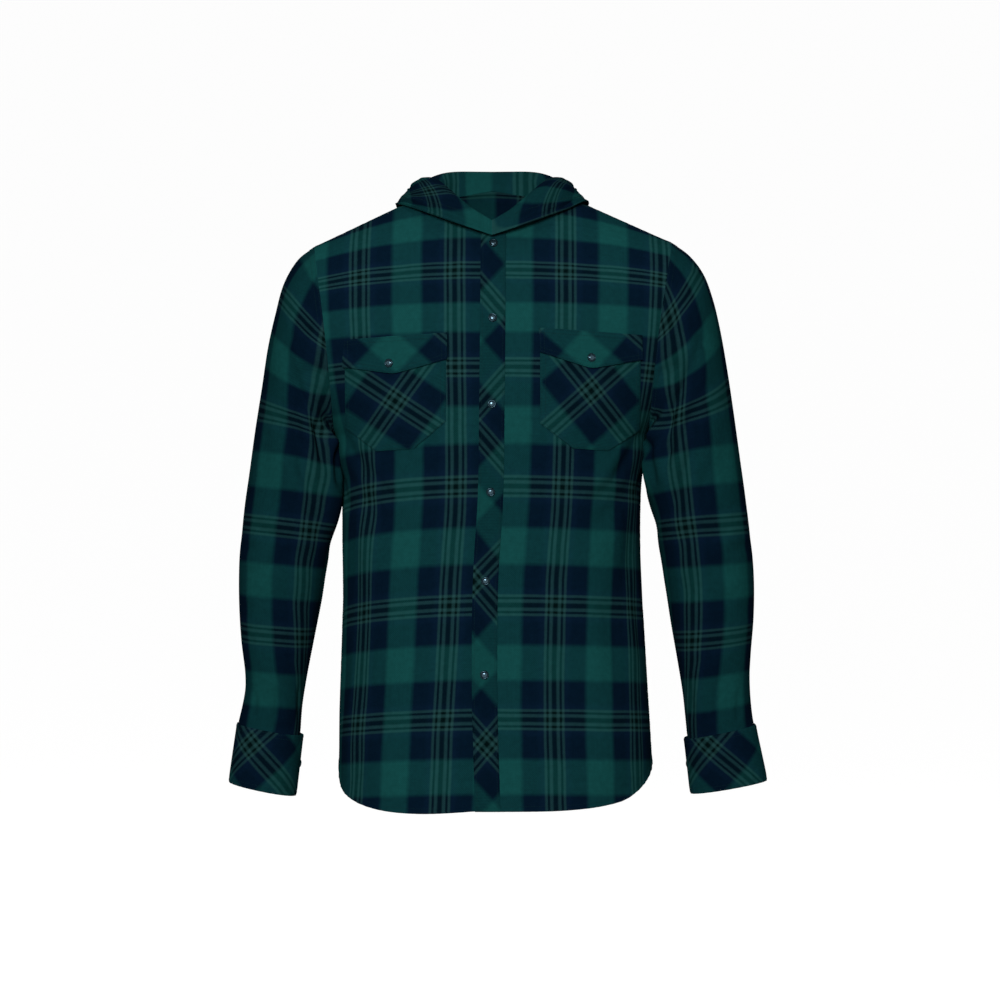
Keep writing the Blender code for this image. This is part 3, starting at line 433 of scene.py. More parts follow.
def setInputs(tree, node, inputs):  # each input linked to a socket or set to a value
    for name, value in inputs.items():
        socket = node.inputs[name]
        if isinstance(value, bpy.types.NodeSocket):
            tree.links.new(value, socket)
        elif socket.type == "RGBA":
            socket.default_value = (*value, 1.0)
        else:
            socket.default_value = value


def addNode(tree, kind, inputs, **settings):
    node = tree.nodes.new("ShaderNode" + kind)
    for name, value in settings.items():
        setattr(node, name, value)
    setInputs(tree, node, inputs)
    return node.outputs


def mathNode(tree, operation, *values):
    return addNode(tree, "Math", dict(enumerate(values)), operation=operation)[0]


def mixColour(tree, factor, first, second):
    return addNode(tree, "Mix", {0: factor, 6: first, 7: second}, data_type="RGBA")[2]


def rampNode(tree, factor, stops):
    node = tree.nodes.new("ShaderNodeValToRGB")
    setInputs(tree, node, {0: factor})
    ramp = node.color_ramp
    while len(ramp.elements) < len(stops):
        ramp.elements.new(0.5)
    for element, (place, colour) in zip(ramp.elements, stops):
        element.position = place
        element.color = (*colour, 1.0)
    return node.outputs[0]


def noiseAt(tree, place, scale, detail=2.0, roughness=0.5):
    inputs = {"Vector": place, "Scale": scale, "Detail": detail, "Roughness": roughness}
    return addNode(tree, "TexNoise", inputs)["Fac"]


def stretched(tree, place, size):
    return addNode(tree, "VectorMath", {0: place, 1: size}, operation="MULTIPLY")[0]


def scaled(tree, colour, factor):
    return addNode(tree, "VectorMath", {0: colour, "Scale": factor}, operation="SCALE")[0]


def newGroup(name, inputs, outputs):
    group = bpy.data.node_groups.new(name, "ShaderNodeTree")
    for socket, kind, value in inputs:
        made = group.interface.new_socket(socket, in_out="INPUT", socket_type="NodeSocket" + kind)
        if value is not None:
            made.default_value = value
    for socket, kind in outputs:
        group.interface.new_socket(socket, in_out="OUTPUT", socket_type="NodeSocket" + kind)
    return group, group.nodes.new("NodeGroupInput").outputs, group.nodes.new("NodeGroupOutput")


weave = dict(thread=0.0006, share=(0.13, 0.5), wander=(0.16, -0.08), wanderNoise=(420, 1.0))


def makeTwill():
    group, given, out = newGroup(
        "twillWeave", [("Cloth", "Vector", None), ("Thread", "Float", weave["thread"])],
        [("Warp Share", "Float"), ("Height", "Float")])
    place = addNode(group, "SeparateXYZ", {0: given["Cloth"]})
    turn = mathNode(group, "DIVIDE", mathNode(group, "ADD", place[0], place[1]), given["Thread"])
    wave = mathNode(group, "SINE", mathNode(group, "MULTIPLY", turn, math.pi / 2))
    uneven = mathNode(group, "MULTIPLY_ADD", noiseAt(group, given["Cloth"], *weave["wanderNoise"]),
                      *weave["wander"])
    share = mathNode(group, "ADD", mathNode(group, "MULTIPLY_ADD", wave, *weave["share"]), uneven)
    height = mathNode(group, "MULTIPLY_ADD", wave, 0.5, 0.5)
    setInputs(group, out, {"Warp Share": share, "Height": height})
    return group


def makeCheck():
    group, given, out = newGroup(
        "flannelCheck", [("Cloth", "Vector", None), ("Warp Share", "Float", 0.5)],
        [("Colour", "Color")])
    cloth, fine, coarse = given["Cloth"], flannel["acrossYarn"], flannel["alongYarn"]
    wander = mathNode(group, "MULTIPLY_ADD", noiseAt(group, cloth, *flannel["wanderNoise"]),
                      *flannel["wander"])
    place = addNode(group, "SeparateXYZ", {0: cloth})
    threads = []
    for axis, name, grainScale in ((0, "warp", (fine, coarse, 1)), (1, "weft", (coarse, fine, 1))):
        half = flannel[name + "Repeat"] / 2
        folded = mathNode(group, "PINGPONG", mathNode(group, "ADD", place[axis], wander), half)
        stops = stopsOf(half, flannel[name + "Green"])
        stripes = rampNode(group, mathNode(group, "DIVIDE", folded, half), stops)
        yarn = noiseAt(group, stretched(group, cloth, grainScale), 1.0, 1.0)
        bright = mathNode(group, "MULTIPLY_ADD", yarn, *flannel["yarnBright"])
        threads.append(scaled(group, stripes, bright))
    warp, weft = threads
    setInputs(group, out, {"Colour": mixColour(group, given["Warp Share"], weft, warp)})
    return group


# Noises have a size, detail and roughness; pairs of levels are a gain and a start
brushed = dict(stretch=(1, 0.6, 1), fine=(900, 3.0, 0.6), soft=(60, 3.0, 0.6), patches=(130, 3.0, 0.7),
               amount=(0.7, 0.65), shade=(0.50, 0.75), height=(0.9, 0.6), roughness=(0.14, 0.82))


def makeNap():
    group, given, out = newGroup(
        "brushedNap", [("Cloth", "Vector", None), ("Amount", "Float", 0.2),
                       ("Colour", "Color", (0.5, 0.5, 0.5, 1.0)),
                       ("Fuzz", "Color", (0.012, 0.050, 0.058, 1.0)), ("Depth", "Float", 1.0)],
        [("Colour", "Color"), ("Height", "Float"), ("Roughness", "Float")])
    cloth = given["Cloth"]
    fine = noiseAt(group, stretched(group, cloth, brushed["stretch"]), *brushed["fine"])
    soft = noiseAt(group, cloth, *brushed["soft"])
    mask = mathNode(group, "MULTIPLY", mathNode(group, "POWER", fine, 2.0), given["Amount"])
    mask = mathNode(group, "MULTIPLY", mask, mathNode(group, "MULTIPLY_ADD", soft, *brushed["amount"]))
    patchy = mathNode(group, "MULTIPLY_ADD", noiseAt(group, cloth, *brushed["patches"]), *brushed["shade"])
    # the random mottle is then scaled by a factor that paints shade, darkening a whole piece as if it lay
    # in shadow
    shade = mathNode(group, "MULTIPLY", patchy, given["Depth"])
    softHigh, fineHigh = brushed["height"]
    height = mathNode(group, "MULTIPLY_ADD", soft, softHigh, mathNode(group, "MULTIPLY", fine, fineHigh))
    setInputs(group, out, {
        "Colour": scaled(group, mixColour(group, mask, given["Colour"], given["Fuzz"]), shade),
        "Height": height, "Roughness": mathNode(group, "MULTIPLY_ADD", fine, *brushed["roughness"])})
    return group


twillWeave, flannelCheck, brushedNap = makeTwill(), makeCheck(), makeNap()


# Materials

def newMaterial(name):
    made = bpy.data.materials.new(name)
    made.use_nodes = True
    return made, made.node_tree, made.node_tree.nodes["Principled BSDF"]


def useGroup(tree, group, inputs):
    return addNode(tree, "Group", inputs, node_tree=group)


# depth is painted shade: one factor that darkens the whole check, as if the piece lay in shadow; the dye is
# the same on every piece
def flannelMaterial(name, nap=0.22, bump=0.35, depth=1.0):
    made, tree, shader = newMaterial(name)
    cloth = addNode(tree, "UVMap", {}, uv_map="cloth")["UV"]
    twill = useGroup(tree, twillWeave, {"Cloth": cloth})
    check = useGroup(tree, flannelCheck, {"Cloth": cloth, "Warp Share": twill["Warp Share"]})
    fuzz = useGroup(tree, brushedNap, {"Cloth": cloth, "Amount": nap, "Depth": depth,
                                       "Colour": check["Colour"]})
    height = mathNode(tree, "MULTIPLY_ADD", twill["Height"], 0.5, fuzz["Height"])
    relief = addNode(tree, "Bump", {"Strength": bump, "Distance": 0.0004, "Height": height})
    setInputs(tree, shader, {
        "Base Color": fuzz["Colour"], "Roughness": fuzz["Roughness"], "Normal": relief["Normal"],
        "Specular IOR Level": 0.0, "Sheen Weight": 0.006, "Sheen Roughness": 0.5,
        "Sheen Tint": (0.20, 0.45, 0.50)})
    return made


def threadMaterial():  # sewing thread: two plies twisted round each other
    made, tree, shader = newMaterial("sewingThread")
    cloth = addNode(tree, "UVMap", {}, uv_map="cloth")["UV"]
    twist = addNode(tree, "TexWave", {"Vector": cloth, "Scale": 900}, wave_type="BANDS",
                    bands_direction="DIAGONAL")["Fac"]
    setInputs(tree, shader, {
        "Base Color": mixColour(tree, twist, (0.002, 0.014, 0.016), (0.006, 0.034, 0.036)),
        "Roughness": 0.7, "Specular IOR Level": 0.05})
    return made


def pearlMaterial():
    made, tree, shader = newMaterial("pearlCap")
    place = addNode(tree, "TexCoord", {})["Object"]
    swirl = addNode(tree, "TexWave", {"Vector": place, "Scale": 260, "Distortion": 6})["Fac"]
    colour = mixColour(tree, swirl, (0.002, 0.007, 0.011), (0.010, 0.024, 0.034))
    cloud = mathNode(tree, "MULTIPLY", noiseAt(tree, place, 900, 3.0), 0.3)
    setInputs(tree, shader, {
        "Base Color": mixColour(tree, cloud, colour, (0.020, 0.042, 0.056)), "Roughness": 0.15,
        "Specular IOR Level": 0.9, "Specular Tint": (0.45, 0.80, 1.0),
        "Coat Weight": 0.1, "Coat Roughness": 0.05})
    return made


def ringMaterial():
    made, tree, shader = newMaterial("brushedRing")
    worn = noiseAt(tree, addNode(tree, "TexCoord", {})["Object"], 1600, 4.0)
    setInputs(tree, shader, {
        "Base Color": mixColour(tree, worn, (0.004, 0.011, 0.016), (0.022, 0.043, 0.054)),
        "Roughness": mathNode(tree, "MULTIPLY_ADD", worn, 0.10, 0.06), "Metallic": 1.0,
        "Specular Tint": (0.06, 0.12, 0.15)})
    return made


# the depth values below are painted shade: darker copies of the same flannel for the sleeves, the cuffs and
# placket, the pockets and the hood
finishes = {
    "flannel": [flannelMaterial("bodyFlannel")],
    "flannel_sleeve": [flannelMaterial("sleeveFlannel", nap=0.20, depth=0.82)],
    "flannel_bias": [flannelMaterial("biasFlannel", nap=0.20, bump=0.32, depth=0.86)],
    "flannel_pocket": [flannelMaterial("pocketFlannel", depth=0.93)],
    "flannel_hood": [flannelMaterial("hoodFlannel", nap=0.24, depth=0.81)],
    "pearl_snap": [pearlMaterial(), ringMaterial()],
}
thread = threadMaterial()
print("materials made")


# Meshes with the cloth's own coordinates


def nodeOf(name):  # the solid that a piece stands for
    return "".join("_" + letter.lower() if letter.isupper() or letter.isdigit() else letter
                   for letter in name)


def stitchesOf(name):
    return "stitches" + name[0].upper() + name[1:]


def addPiece(name, mesh, nodes, finish):
    made = bpy.data.objects.new(name, mesh)
    bpy.context.scene.collection.objects.link(made)
    for material in finish:
        mesh.materials.append(material)
    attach(made, "root")
    if nodes:
        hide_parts(*nodes)


def addCloth(name, slot, outside, inside, cloth, lines, closed=False):  # a wall of cloth and its stitches
    addPiece(name, wallMesh(name, outside, inside, cloth, closed), [nodeOf(name)], finishes[slot])
    addPiece(stitchesOf(name), stitchMesh(stitchesOf(name), lines), [], [thread])


def meshOf(name, points, faces):
    mesh = bpy.data.meshes.new(name)
    mesh.from_pydata(points, [], faces)
    return mesh


def addClothCoordinates(mesh, flat):
    mesh.uv_layers.new(name="cloth").data.foreach_set("uv", flat.ravel())


def wallMesh(name, outside, inside, cloth, closed):
    rows, columns = outside.shape[:2]
    spans = columns if closed else columns - 1
    r, c = np.meshgrid(np.arange(rows - 1), np.arange(spans), indexing="ij")
    corners = np.stack([r, c, r, c + 1, r + 1, c + 1, r + 1, c], axis=-1).reshape(-1, 4, 2)
    across, down = np.arange(spans), np.arange(rows - 1)
    edges = [(row + 0 * across, across, row + 0 * across, across + 1) for row in (0, rows - 1)]
    if not closed:
        edges += [(down, column + 0 * down, down + 1, column + 0 * down) for column in (0, columns - 1)]
    rims = [np.stack([r0, c0, r1, c1, r1, c1, r0, c0], axis=-1).reshape(-1, 4, 2)
            for r0, c0, r1, c1 in edges]
    places = np.concatenate([corners, corners[:, ::-1], *rims])
    within = np.zeros(places.shape[:2], int)  # 1 for the corners that lie on the inside
    within[len(corners):2 * len(corners)] = 1
    within[2 * len(corners):, 2:] = 1
    found = places[:, :, 0] * columns + places[:, :, 1] % columns + within * rows * columns
    points = np.concatenate([outside.reshape(-1, 3), inside.reshape(-1, 3)])
    mesh = meshOf(name, points.tolist(), found.tolist())
    addClothCoordinates(mesh, cloth[places[:, :, 0], places[:, :, 1]])
    shape = bmesh.new()
    shape.from_mesh(mesh)
    bmesh.ops.recalc_face_normals(shape, faces=shape.faces)
    shape.to_mesh(mesh)
    shape.free()
    mesh.shade_smooth()
    mesh.set_sharp_from_angle(angle=math.radians(wall["sharpFrom"]))
    return mesh


stitch = dict(pitch=0.0033, length=0.0024, width=0.00050, height=0.00032, sunk=0.0001, lastShare=0.6,
              ring=((-0.5, 0.55, 0.25), (0.0, 1.0, 1.0), (0.5, 0.55, 0.25)))


def stitchMesh(name, lines):  # each stitch a short low rounded bar of thread
    points, faces, cloth = [], [], []
    bar = np.array([(0, 3, 4, 1), (1, 4, 5, 2), (3, 6, 7, 4), (4, 7, 8, 5)])
    perBar = int(bar.max()) + 1
    spread = np.array([(k // 3 * stitch["length"] / 2, k % 3 * stitch["width"] / 2) for k in range(perBar)])
    total = 0
    for line, normals in lines:
        run = np.concatenate([[0], np.cumsum(np.linalg.norm(np.diff(line, axis=0), axis=1))])
        at = np.arange(stitch["pitch"], run[-1] - stitch["pitch"] * stitch["lastShare"], stitch["pitch"])
        if len(at) == 0:
            continue
        ends = [pointsAt(at + stitch["length"] * place, run, line) for place, _, _ in stitch["ring"]]
        facing = unit(pointsAt(at, run, normals))
        beside = unit(np.cross(facing, ends[2] - ends[0])) * stitch["width"] / 2
        rings = []
        for middle, (_, size, share) in zip(ends, stitch["ring"]):
            low = middle - facing * stitch["sunk"]
            high = middle + facing * stitch["height"] * share
            rings.append([low - beside * size, high, low + beside * size])
        points.append(np.array(rings).reshape(perBar, len(at), 3).transpose(1, 0, 2).reshape(-1, 3))
        first = total + perBar * np.arange(len(at))
        faces.append((bar[None] + first[:, None, None]).reshape(-1, 4))
        cloth.append((spread[None] + at[:, None, None] * (1, 0)).reshape(-1, 2))
        total += perBar * len(at)
    points, faces, cloth = np.concatenate(points), np.concatenate(faces), np.concatenate(cloth)
    mesh = meshOf(name, points.tolist(), faces.tolist())
    addClothCoordinates(mesh, cloth[faces.ravel()])
    mesh.shade_smooth()
    return mesh


# Fronts and back

sides = {"Right": -1, "Left": 1}
turned = dict(blend=0.0012, groove=0.6, grooveIn=0.0012, grooveHalf=0.0007, puckerReach=1.6)
grids = {}


def armRises():
    return (1 - np.cos(np.linspace(0, math.pi, body["highRows"] + 1))) / 2


def armAngle(rise, left, front):
    _, _, share = torsoRing(rise, left, front)
    return np.arccos(share ** (body["squareness"] / 2))


def hemRise(edge, side, angle):
    return read(edge, "left" if side < 0 else "right", np.degrees(np.abs(angle))) - body["armpit"]


def bendToArmhole(start, share, arm):
    power = 1 + body["armBend"] * (arm / (math.pi / 2)) ** 2
    return start + (math.pi / 2 - start) * share - (math.pi / 2 - arm) * share ** power


def freeEdgeX(side, z):
    return side * placketX(z) - placket["width"] / 2


def frontGrid(side):
    share = np.linspace(0, 1, body["frontColumns"] + 1)
    left, angles, rises = side < 0, [], []
    width, _, _ = torsoRing(np.array(-body["waistBelowArm"]), left, True)
    for row in range(body["lowRows"]):
        level = row / body["lowRows"]
        start = angleAt(freeEdgeX(side, body["armpit"] - body["frontBelowArm"] * (1 - level)), width)
        angle = start + (math.pi / 2 - start) * share
        angles.append(side * angle)
        rises.append(hemRise(hem["front"], side, angle) * (1 - level))
    low, high = body["neckRow"], body["highRows"]
    turn, rise = body["neckTurn"], body["frontNeckRise"]
    centre = np.concatenate([
        rise / math.sin(turn) * np.sin(np.linspace(0, turn, low + 1)),
        rise + (1 - rise) * (1 - np.cos(np.linspace(0, math.pi / 2, high - low + 1)[1:])),
    ])
    for row, (inner, outer) in enumerate(zip(centre, armRises())):
        roundNeck = max(0, row - low) / (high - low)
        z = body["armpit"] + inner * (body["neckTop"] - body["armpit"])
        edge = freeEdgeX(side, z) * (1 - roundNeck) ** 3
        edge = edge + body["neckHalf"] * math.sin(roundNeck * math.pi / 2)
        width, _, _ = torsoRing(np.array(inner), left, True)
        angles.append(side * bendToArmhole(angleAt(edge, width), share, armAngle(outer, left, True)))
        rises.append(inner + (outer - inner) * share ** 2)
    return np.array(angles), np.array(rises)


def backGrid():
    share = np.linspace(0, 1, body["backColumns"] + 1)
    neck = share[body["backNeckColumn"]]
    halves = []
    for side in (-1, 1):
        low, high = body["lowRows"], body["highRows"]
        angles = [share * math.pi / 2] * low
        rises = [hemRise(hem["back"], side, angles[0]) * (1 - row / low) for row in range(low)]
        top = body["backNeckRise"] + (1 - body["backNeckRise"]) * np.minimum(share / neck, 1) ** 2
        width, _, _ = torsoRing(np.array(1.0), side < 0, False)
        neckAngle = angleAt(body["neckHalf"], width)
        for row, outer in enumerate(armRises()):
            level, arm = row / high, armAngle(outer, side < 0, False)
            even = bendToArmhole(0.0, share, arm)
            split = np.interp(share, (0, neck, 1), (0, neckAngle, arm))
            angles.append(even + (split - even) * level ** 2)
            rises.append(top * (level + (outer - level) * share ** 2))
        halves.append((side * np.array(angles), np.array(rises)))
    angles, rises = (np.hstack([left[:, :0:-1], right]) for left, right in zip(*halves))
    return math.pi - angles, rises


def lapUnder(points, normals):
    covered = points[..., 0] - placketX(points[..., 2]) + placket["width"] / 2
    under = ease(1 + covered / placket["lapRamp"])
    return points - normals * (under * (wall["cloth"] + 2 * wall["lay"]))[..., None]


def seamBand(points, edge, width, lift, pucker):  # a turned allowance: raised, with fine puckers
    away = edgeDistance(points, edge)
    along = edgeDistance(points, "firstColumn" if edge.endswith("Row") else "firstRow")
    raised = turnedEdge(away, width, turned["blend"])
    raised = raised - turned["groove"] * bell(away, width - turned["grooveIn"], turned["grooveHalf"])
    return lift * raised + puckers(along, away, width * turned["puckerReach"], pucker)


def makePanel(name, angles, rises, bands, seams):
    points, normals = torsoAt(angles, rises)
    if name == "frontRight":
        points = lapUnder(points, normals)
    grids[name] = (points, normals)
    raised = sum(seamBand(points, edge, **band) for edge, band in bands)
    outside = points + normals * raised[..., None]
    lines = [line for seam in seams for line in seamLines(outside, normals, *seam)]
    cloth = torsoCloth(angles, rises, name)
    addCloth(name, "flannel", outside, points - normals * wall["cloth"], cloth, lines)


def makeTorso():
    hemBand = [("firstRow", hem["seam"])]
    for word, side in sides.items():
        start = hem["underLap"] if word == "Right" else 0
        makePanel("front" + word, *frontGrid(side), hemBand, [("firstRow", hem["stitches"], start)])
    middle, neck, distances = body["backColumns"], body["backNeckColumn"], body["seamStitches"]
    bands = hemBand + [(edge, body["seam"]) for edge in ("firstColumn", "lastColumn", "lastRow")]
    makePanel("back", *backGrid(), bands, [
        ("firstRow", hem["stitches"]), ("firstColumn lastColumn", distances, 2),
        ("lastRow", distances, 0, middle - neck), ("lastRow", distances, middle + neck + 1)])


makeTorso()
print("fronts and back made")


# Sleeves and cuffs

sleeveColumns = "outerX outerZ innerX innerZ depth middleY"
foldColumns = "along around length reach depth"
sleeve = dict(
    Right=tableOf(sleeveColumns, [
        (0.2245, -0.065, 0.1993, -0.305, 0.075, 0.002), (0.2465, -0.082, 0.2003, -0.310, 0.076, 0.002),
        (0.2640, -0.112, 0.2006, -0.318, 0.077, 0.001), (0.2745, -0.150, 0.2000, -0.330, 0.076, 0.000),
        (0.2840, -0.193, 0.1985, -0.346, 0.074, -0.001), (0.2915, -0.243, 0.1962, -0.368, 0.071, -0.002),
        (0.3000, -0.298, 0.1945, -0.396, 0.068, -0.004), (0.3075, -0.354, 0.2015, -0.432, 0.064, -0.006),
        (0.3145, -0.405, 0.2090, -0.470, 0.061, -0.009), (0.3190, -0.455, 0.2155, -0.512, 0.058, -0.012),
        (0.3195, -0.508, 0.2240, -0.556, 0.054, -0.015), (0.3165, -0.560, 0.2330, -0.603, 0.049, -0.018),
        (0.3110, -0.607, 0.2390, -0.640, 0.043, -0.020), (0.3125, -0.642, 0.2415, -0.664, 0.039, -0.021),
        (0.3190, -0.674, 0.2428, -0.690, 0.0355, -0.022),
    ]),
    Left=tableOf(sleeveColumns, [
        (0.2275, -0.062, 0.1973, -0.305, 0.075, 0.002), (0.2500, -0.077, 0.1983, -0.310, 0.076, 0.002),
        (0.2680, -0.100, 0.1988, -0.317, 0.077, 0.001), (0.2800, -0.132, 0.1988, -0.327, 0.076, 0.000),
        (0.2890, -0.170, 0.1982, -0.340, 0.074, -0.001), (0.2970, -0.215, 0.1972, -0.356, 0.071, -0.002),
        (0.3045, -0.265, 0.1968, -0.378, 0.068, -0.004), (0.3120, -0.320, 0.2045, -0.410, 0.064, -0.006),
        (0.3195, -0.376, 0.2120, -0.450, 0.061, -0.009), (0.3265, -0.430, 0.2190, -0.494, 0.058, -0.012),
        (0.3305, -0.482, 0.2260, -0.540, 0.054, -0.015), (0.3300, -0.532, 0.2335, -0.584, 0.049, -0.018),
        (0.3260, -0.582, 0.2400, -0.624, 0.044, -0.020), (0.3240, -0.630, 0.2437, -0.656, 0.040, -0.021),
        (0.3285, -0.674, 0.2470, -0.694, 0.0345, -0.022),
    ]),
    oval=2.15, capRings=3, rings=150,
    folds=tableOf(foldColumns, [
        (0.24, 100, 0.035, 34, -0.0060), (0.36, 95, 0.030, 30, -0.0035), (0.50, 115, 0.026, 40, -0.0035),
        (0.585, 100, 0.026, 42, -0.0045), (0.67, 110, 0.026, 40, -0.0030), (0.52, 235, 0.026, 50, -0.0060),
        (0.605, 265, 0.026, 44, -0.0045), (0.88, 90, 0.030, 22, -0.0030), (0.88, 262, 0.030, 22, -0.0030),
    ]),
    rollRight=tableOf(foldColumns, [
        (0.19, 152, 0.040, 20, 0.0060), (0.24, 152, 0.065, 20, 0.0130), (0.335, 152, 0.050, 20, 0.0090),
        (0.41, 150, 0.060, 20, 0.0115), (0.48, 150, 0.040, 22, 0.0050),
    ]),
    rollLeft=tableOf(foldColumns, [
        (0.18, 152, 0.040, 22, 0.0070), (0.22, 152, 0.065, 20, 0.0130), (0.315, 152, 0.050, 20, 0.0090),
        (0.38, 150, 0.060, 20, 0.0100),
    ]),
    # Where the stripes lie: the warp group's distance from the outer line, the weft group's height
    warpRight=tableOf("place at", [(0, 0.0045), (8, 0.0045), (11, -0.001), (13, -0.009), (14, -0.010)]),
    warpLeft=tableOf("place at", [(0, -0.0105), (3, -0.0045), (10, -0.0045), (13, -0.0105),
                                  (14, -0.0105)]),
    weftAt={"Right": -0.4196, "Left": -0.4135}, weftStretch=1.044, capBelow=(-0.315, -0.165),
    capRound=1.6, capUntil=(3.0, 5.0), capTilt={"Right": (0.87, -0.0202), "Left": (1.01, -0.0456)},
    tiltRight=tableOf("place tilt shift", [
        (0, 0.35, -0.012), (4, 0.35, -0.012), (5, 0.25, -0.010), (6, 0.16, -0.007), (7, 0.12, -0.005),
        (8, 0.10, -0.005), (14, 0.08, -0.005)]),
    tiltLeft=tableOf("place tilt shift", [
        (0, 0.45, -0.025), (4, 0.45, -0.025), (5, 0.35, -0.020), (6, 0.28, -0.016), (7, 0.18, -0.008),
        (8, 0.12, -0.002), (14, 0.19, 0.0)]),
    intoCuff=(12.35, 13.20), cuffPerRing=0.195, foldsFrom=(0, 0.125), foldsUntil=(1.0, 0.9),
    creasesFrom=(0, 1 / 14), creasesUntil=(0.965, 0.915),
    seam=dict(width=0.0085, lift=0.0004, calm=0.0015, puckerReach=0.012, pucker=0.00022, puckerCalm=0.003,
              stitches=(0.0018, 0.0074), underStitches=(0.0012, 0.0070), underEnds=(3, -9)),
)

cuff = dict(
    Right=tableOf(sleeveColumns, [(0.3220, -0.6665, 0.2398, -0.682, 0.0385, -0.022),
                                  (0.3320, -0.7405, 0.2490, -0.758, 0.0350, -0.024)]),
    Left=tableOf(sleeveColumns, [(0.3325, -0.6680, 0.2440, -0.686, 0.0375, -0.022),
                                 (0.3470, -0.7385, 0.2520, -0.7555, 0.0310, -0.024)]),
    lapStart=15, lapSteps=2, lapRise=0.0026, lapRamp=60, tuck=0.12, fit=0.0025, snapPlace=0.5,
    steps=28, perStep=5, rows=26, crossing={"Right": (-0.0230, -0.6918), "Left": (-0.0210, -0.6918)},
    marks=((0.0007, 0, 0.0010), (0.00025, 0.0062, 0.0009)), puckerReach=0.010, pucker=0.00022,
    wave=dict(height=0.0004, along=95, down=2 / 0.075, calm=0.01),
    stitches=(0.0020, 0.0066), endStitches=(0.0022,),
)

# Around is in degrees from the outer line, front first; along is the height in metres
sleeveCreases = tableOf(creaseColumns, [
    (0.142, -0.265, 98, 0.075, 0.0058, -0.0078, 0.08),
    (0.124, -0.310, 104, 0.062, 0.0060, -0.0062, -0.10),
    (0.124, -0.235, 76, 0.045, 0.0056, -0.0050, 0.10),
    (0.108, -0.350, 112, 0.050, 0.0066, -0.0040, -0.08),
    (0.102, -0.215, 62, 0.050, 0.0070, -0.0040, 0.12),
    (0.096, -0.290, 92, 0.045, 0.0062, -0.0036, 0.10),
    (0.080, -0.180, 48, 0.048, 0.0080, -0.0030, 0.12),
    (0.148, -0.340, 94, 0.045, 0.0056, -0.0060, -0.10),
    (0.060, -0.330, 96, 0.060, 0.0100, -0.0012, 0.06),
    (0.080, -0.430, 160, 0.040, 0.0070, -0.0020, -0.15),
    (0.075, -0.470, 24, 0.045, 0.0080, -0.0018, 0.15),
    (0.045, -0.445, 172, 0.035, 0.0080, -0.0014, 0.12),
    (0.080, -0.510, 168, 0.040, 0.0080, -0.0016, -0.12),
    (0.050, -0.520, 14, 0.040, 0.0090, -0.0012, 0.12),
    (0.090, -0.580, 150, 0.040, 0.0080, -0.0014, 0.10),
    (0.070, -0.640, 88, 0.032, 0.0048, -0.0022, 0.04),
    (0.040, -0.645, 94, 0.030, 0.0046, -0.0016, -0.04),
    (0.105, -0.640, 84, 0.030, 0.0050, -0.0018, 0.04),
    (0.015, -0.400, 80, 0.070, 0.0110, -0.0011, 0.06),
    (-0.060, -0.300, 104, 0.060, 0.0080, -0.0018, 0.08),
    (-0.100, -0.330, 76, 0.060, 0.0070, -0.0020, -0.08),
    (-0.130, -0.380, 96, 0.050, 0.0065, -0.0018, 0.08),
    (-0.050, -0.440, 20, 0.045, 0.0080, -0.0020, 0.14),
    (-0.085, -0.480, 156, 0.050, 0.0080, -0.0020, -0.14),
    (-0.040, -0.530, 12, 0.045, 0.0085, -0.0016, 0.12),
    (-0.095, -0.560, 166, 0.045, 0.0080, -0.0016, -0.10),
    (-0.070, -0.645, 92, 0.032, 0.0048, -0.0022, 0.04),
    (-0.045, -0.640, 86, 0.032, 0.0050, -0.0020, -0.04),
    (-0.100, -0.640, 96, 0.030, 0.0050, -0.0016, 0.04),
])


def wrapped(grid):
    return np.concatenate([grid, grid[:, :1]], axis=1)


def pressed(away, marks):  # the rolled edge and the stitches' groove: a depth, place and width for each
    return -sum(depth * bell(away, place, width) for depth, place, width in marks)


def tubePoints(rings, place, around):
    value = readRings(rings, place)
    out, forward = (signedPower(wave, 2 / sleeve["oval"]) for wave in (np.cos(around), np.sin(around)))
    x, z = ((value["outer" + axis] + value["inner" + axis]) / 2
            + (value["outer" + axis] - value["inner" + axis]) / 2 * out for axis in "XZ")
    return np.stack([x, value["middleY"] - value["depth"] * forward, z], axis=-1)


def sleeveFolds(along, degrees, word):
    moved = np.zeros(along.shape)
    for fold in rowsOf(sleeve["folds"]) + rowsOf(sleeve["roll" + word]):
        turn = (degrees - fold["around"] + 180) % 360 - 180
        moved += fold["depth"] * bell(along, fold["along"], fold["length"]) * bell(turn, 0, fold["reach"])
    return moved


def levelRun(rings):  # distance round each ring, seen from above
    steps = np.hypot(np.diff(rings[..., 0], axis=1), np.diff(rings[..., 1], axis=1))
    return np.concatenate([np.zeros((len(rings), 1)), np.cumsum(steps, axis=1)], axis=1)


def levelArc(rings):  # the same from its outer line, the front positive
    run, middle = levelRun(wrapped(rings)), rings.shape[1] // 2
    return run - run[:, middle:middle + 1]


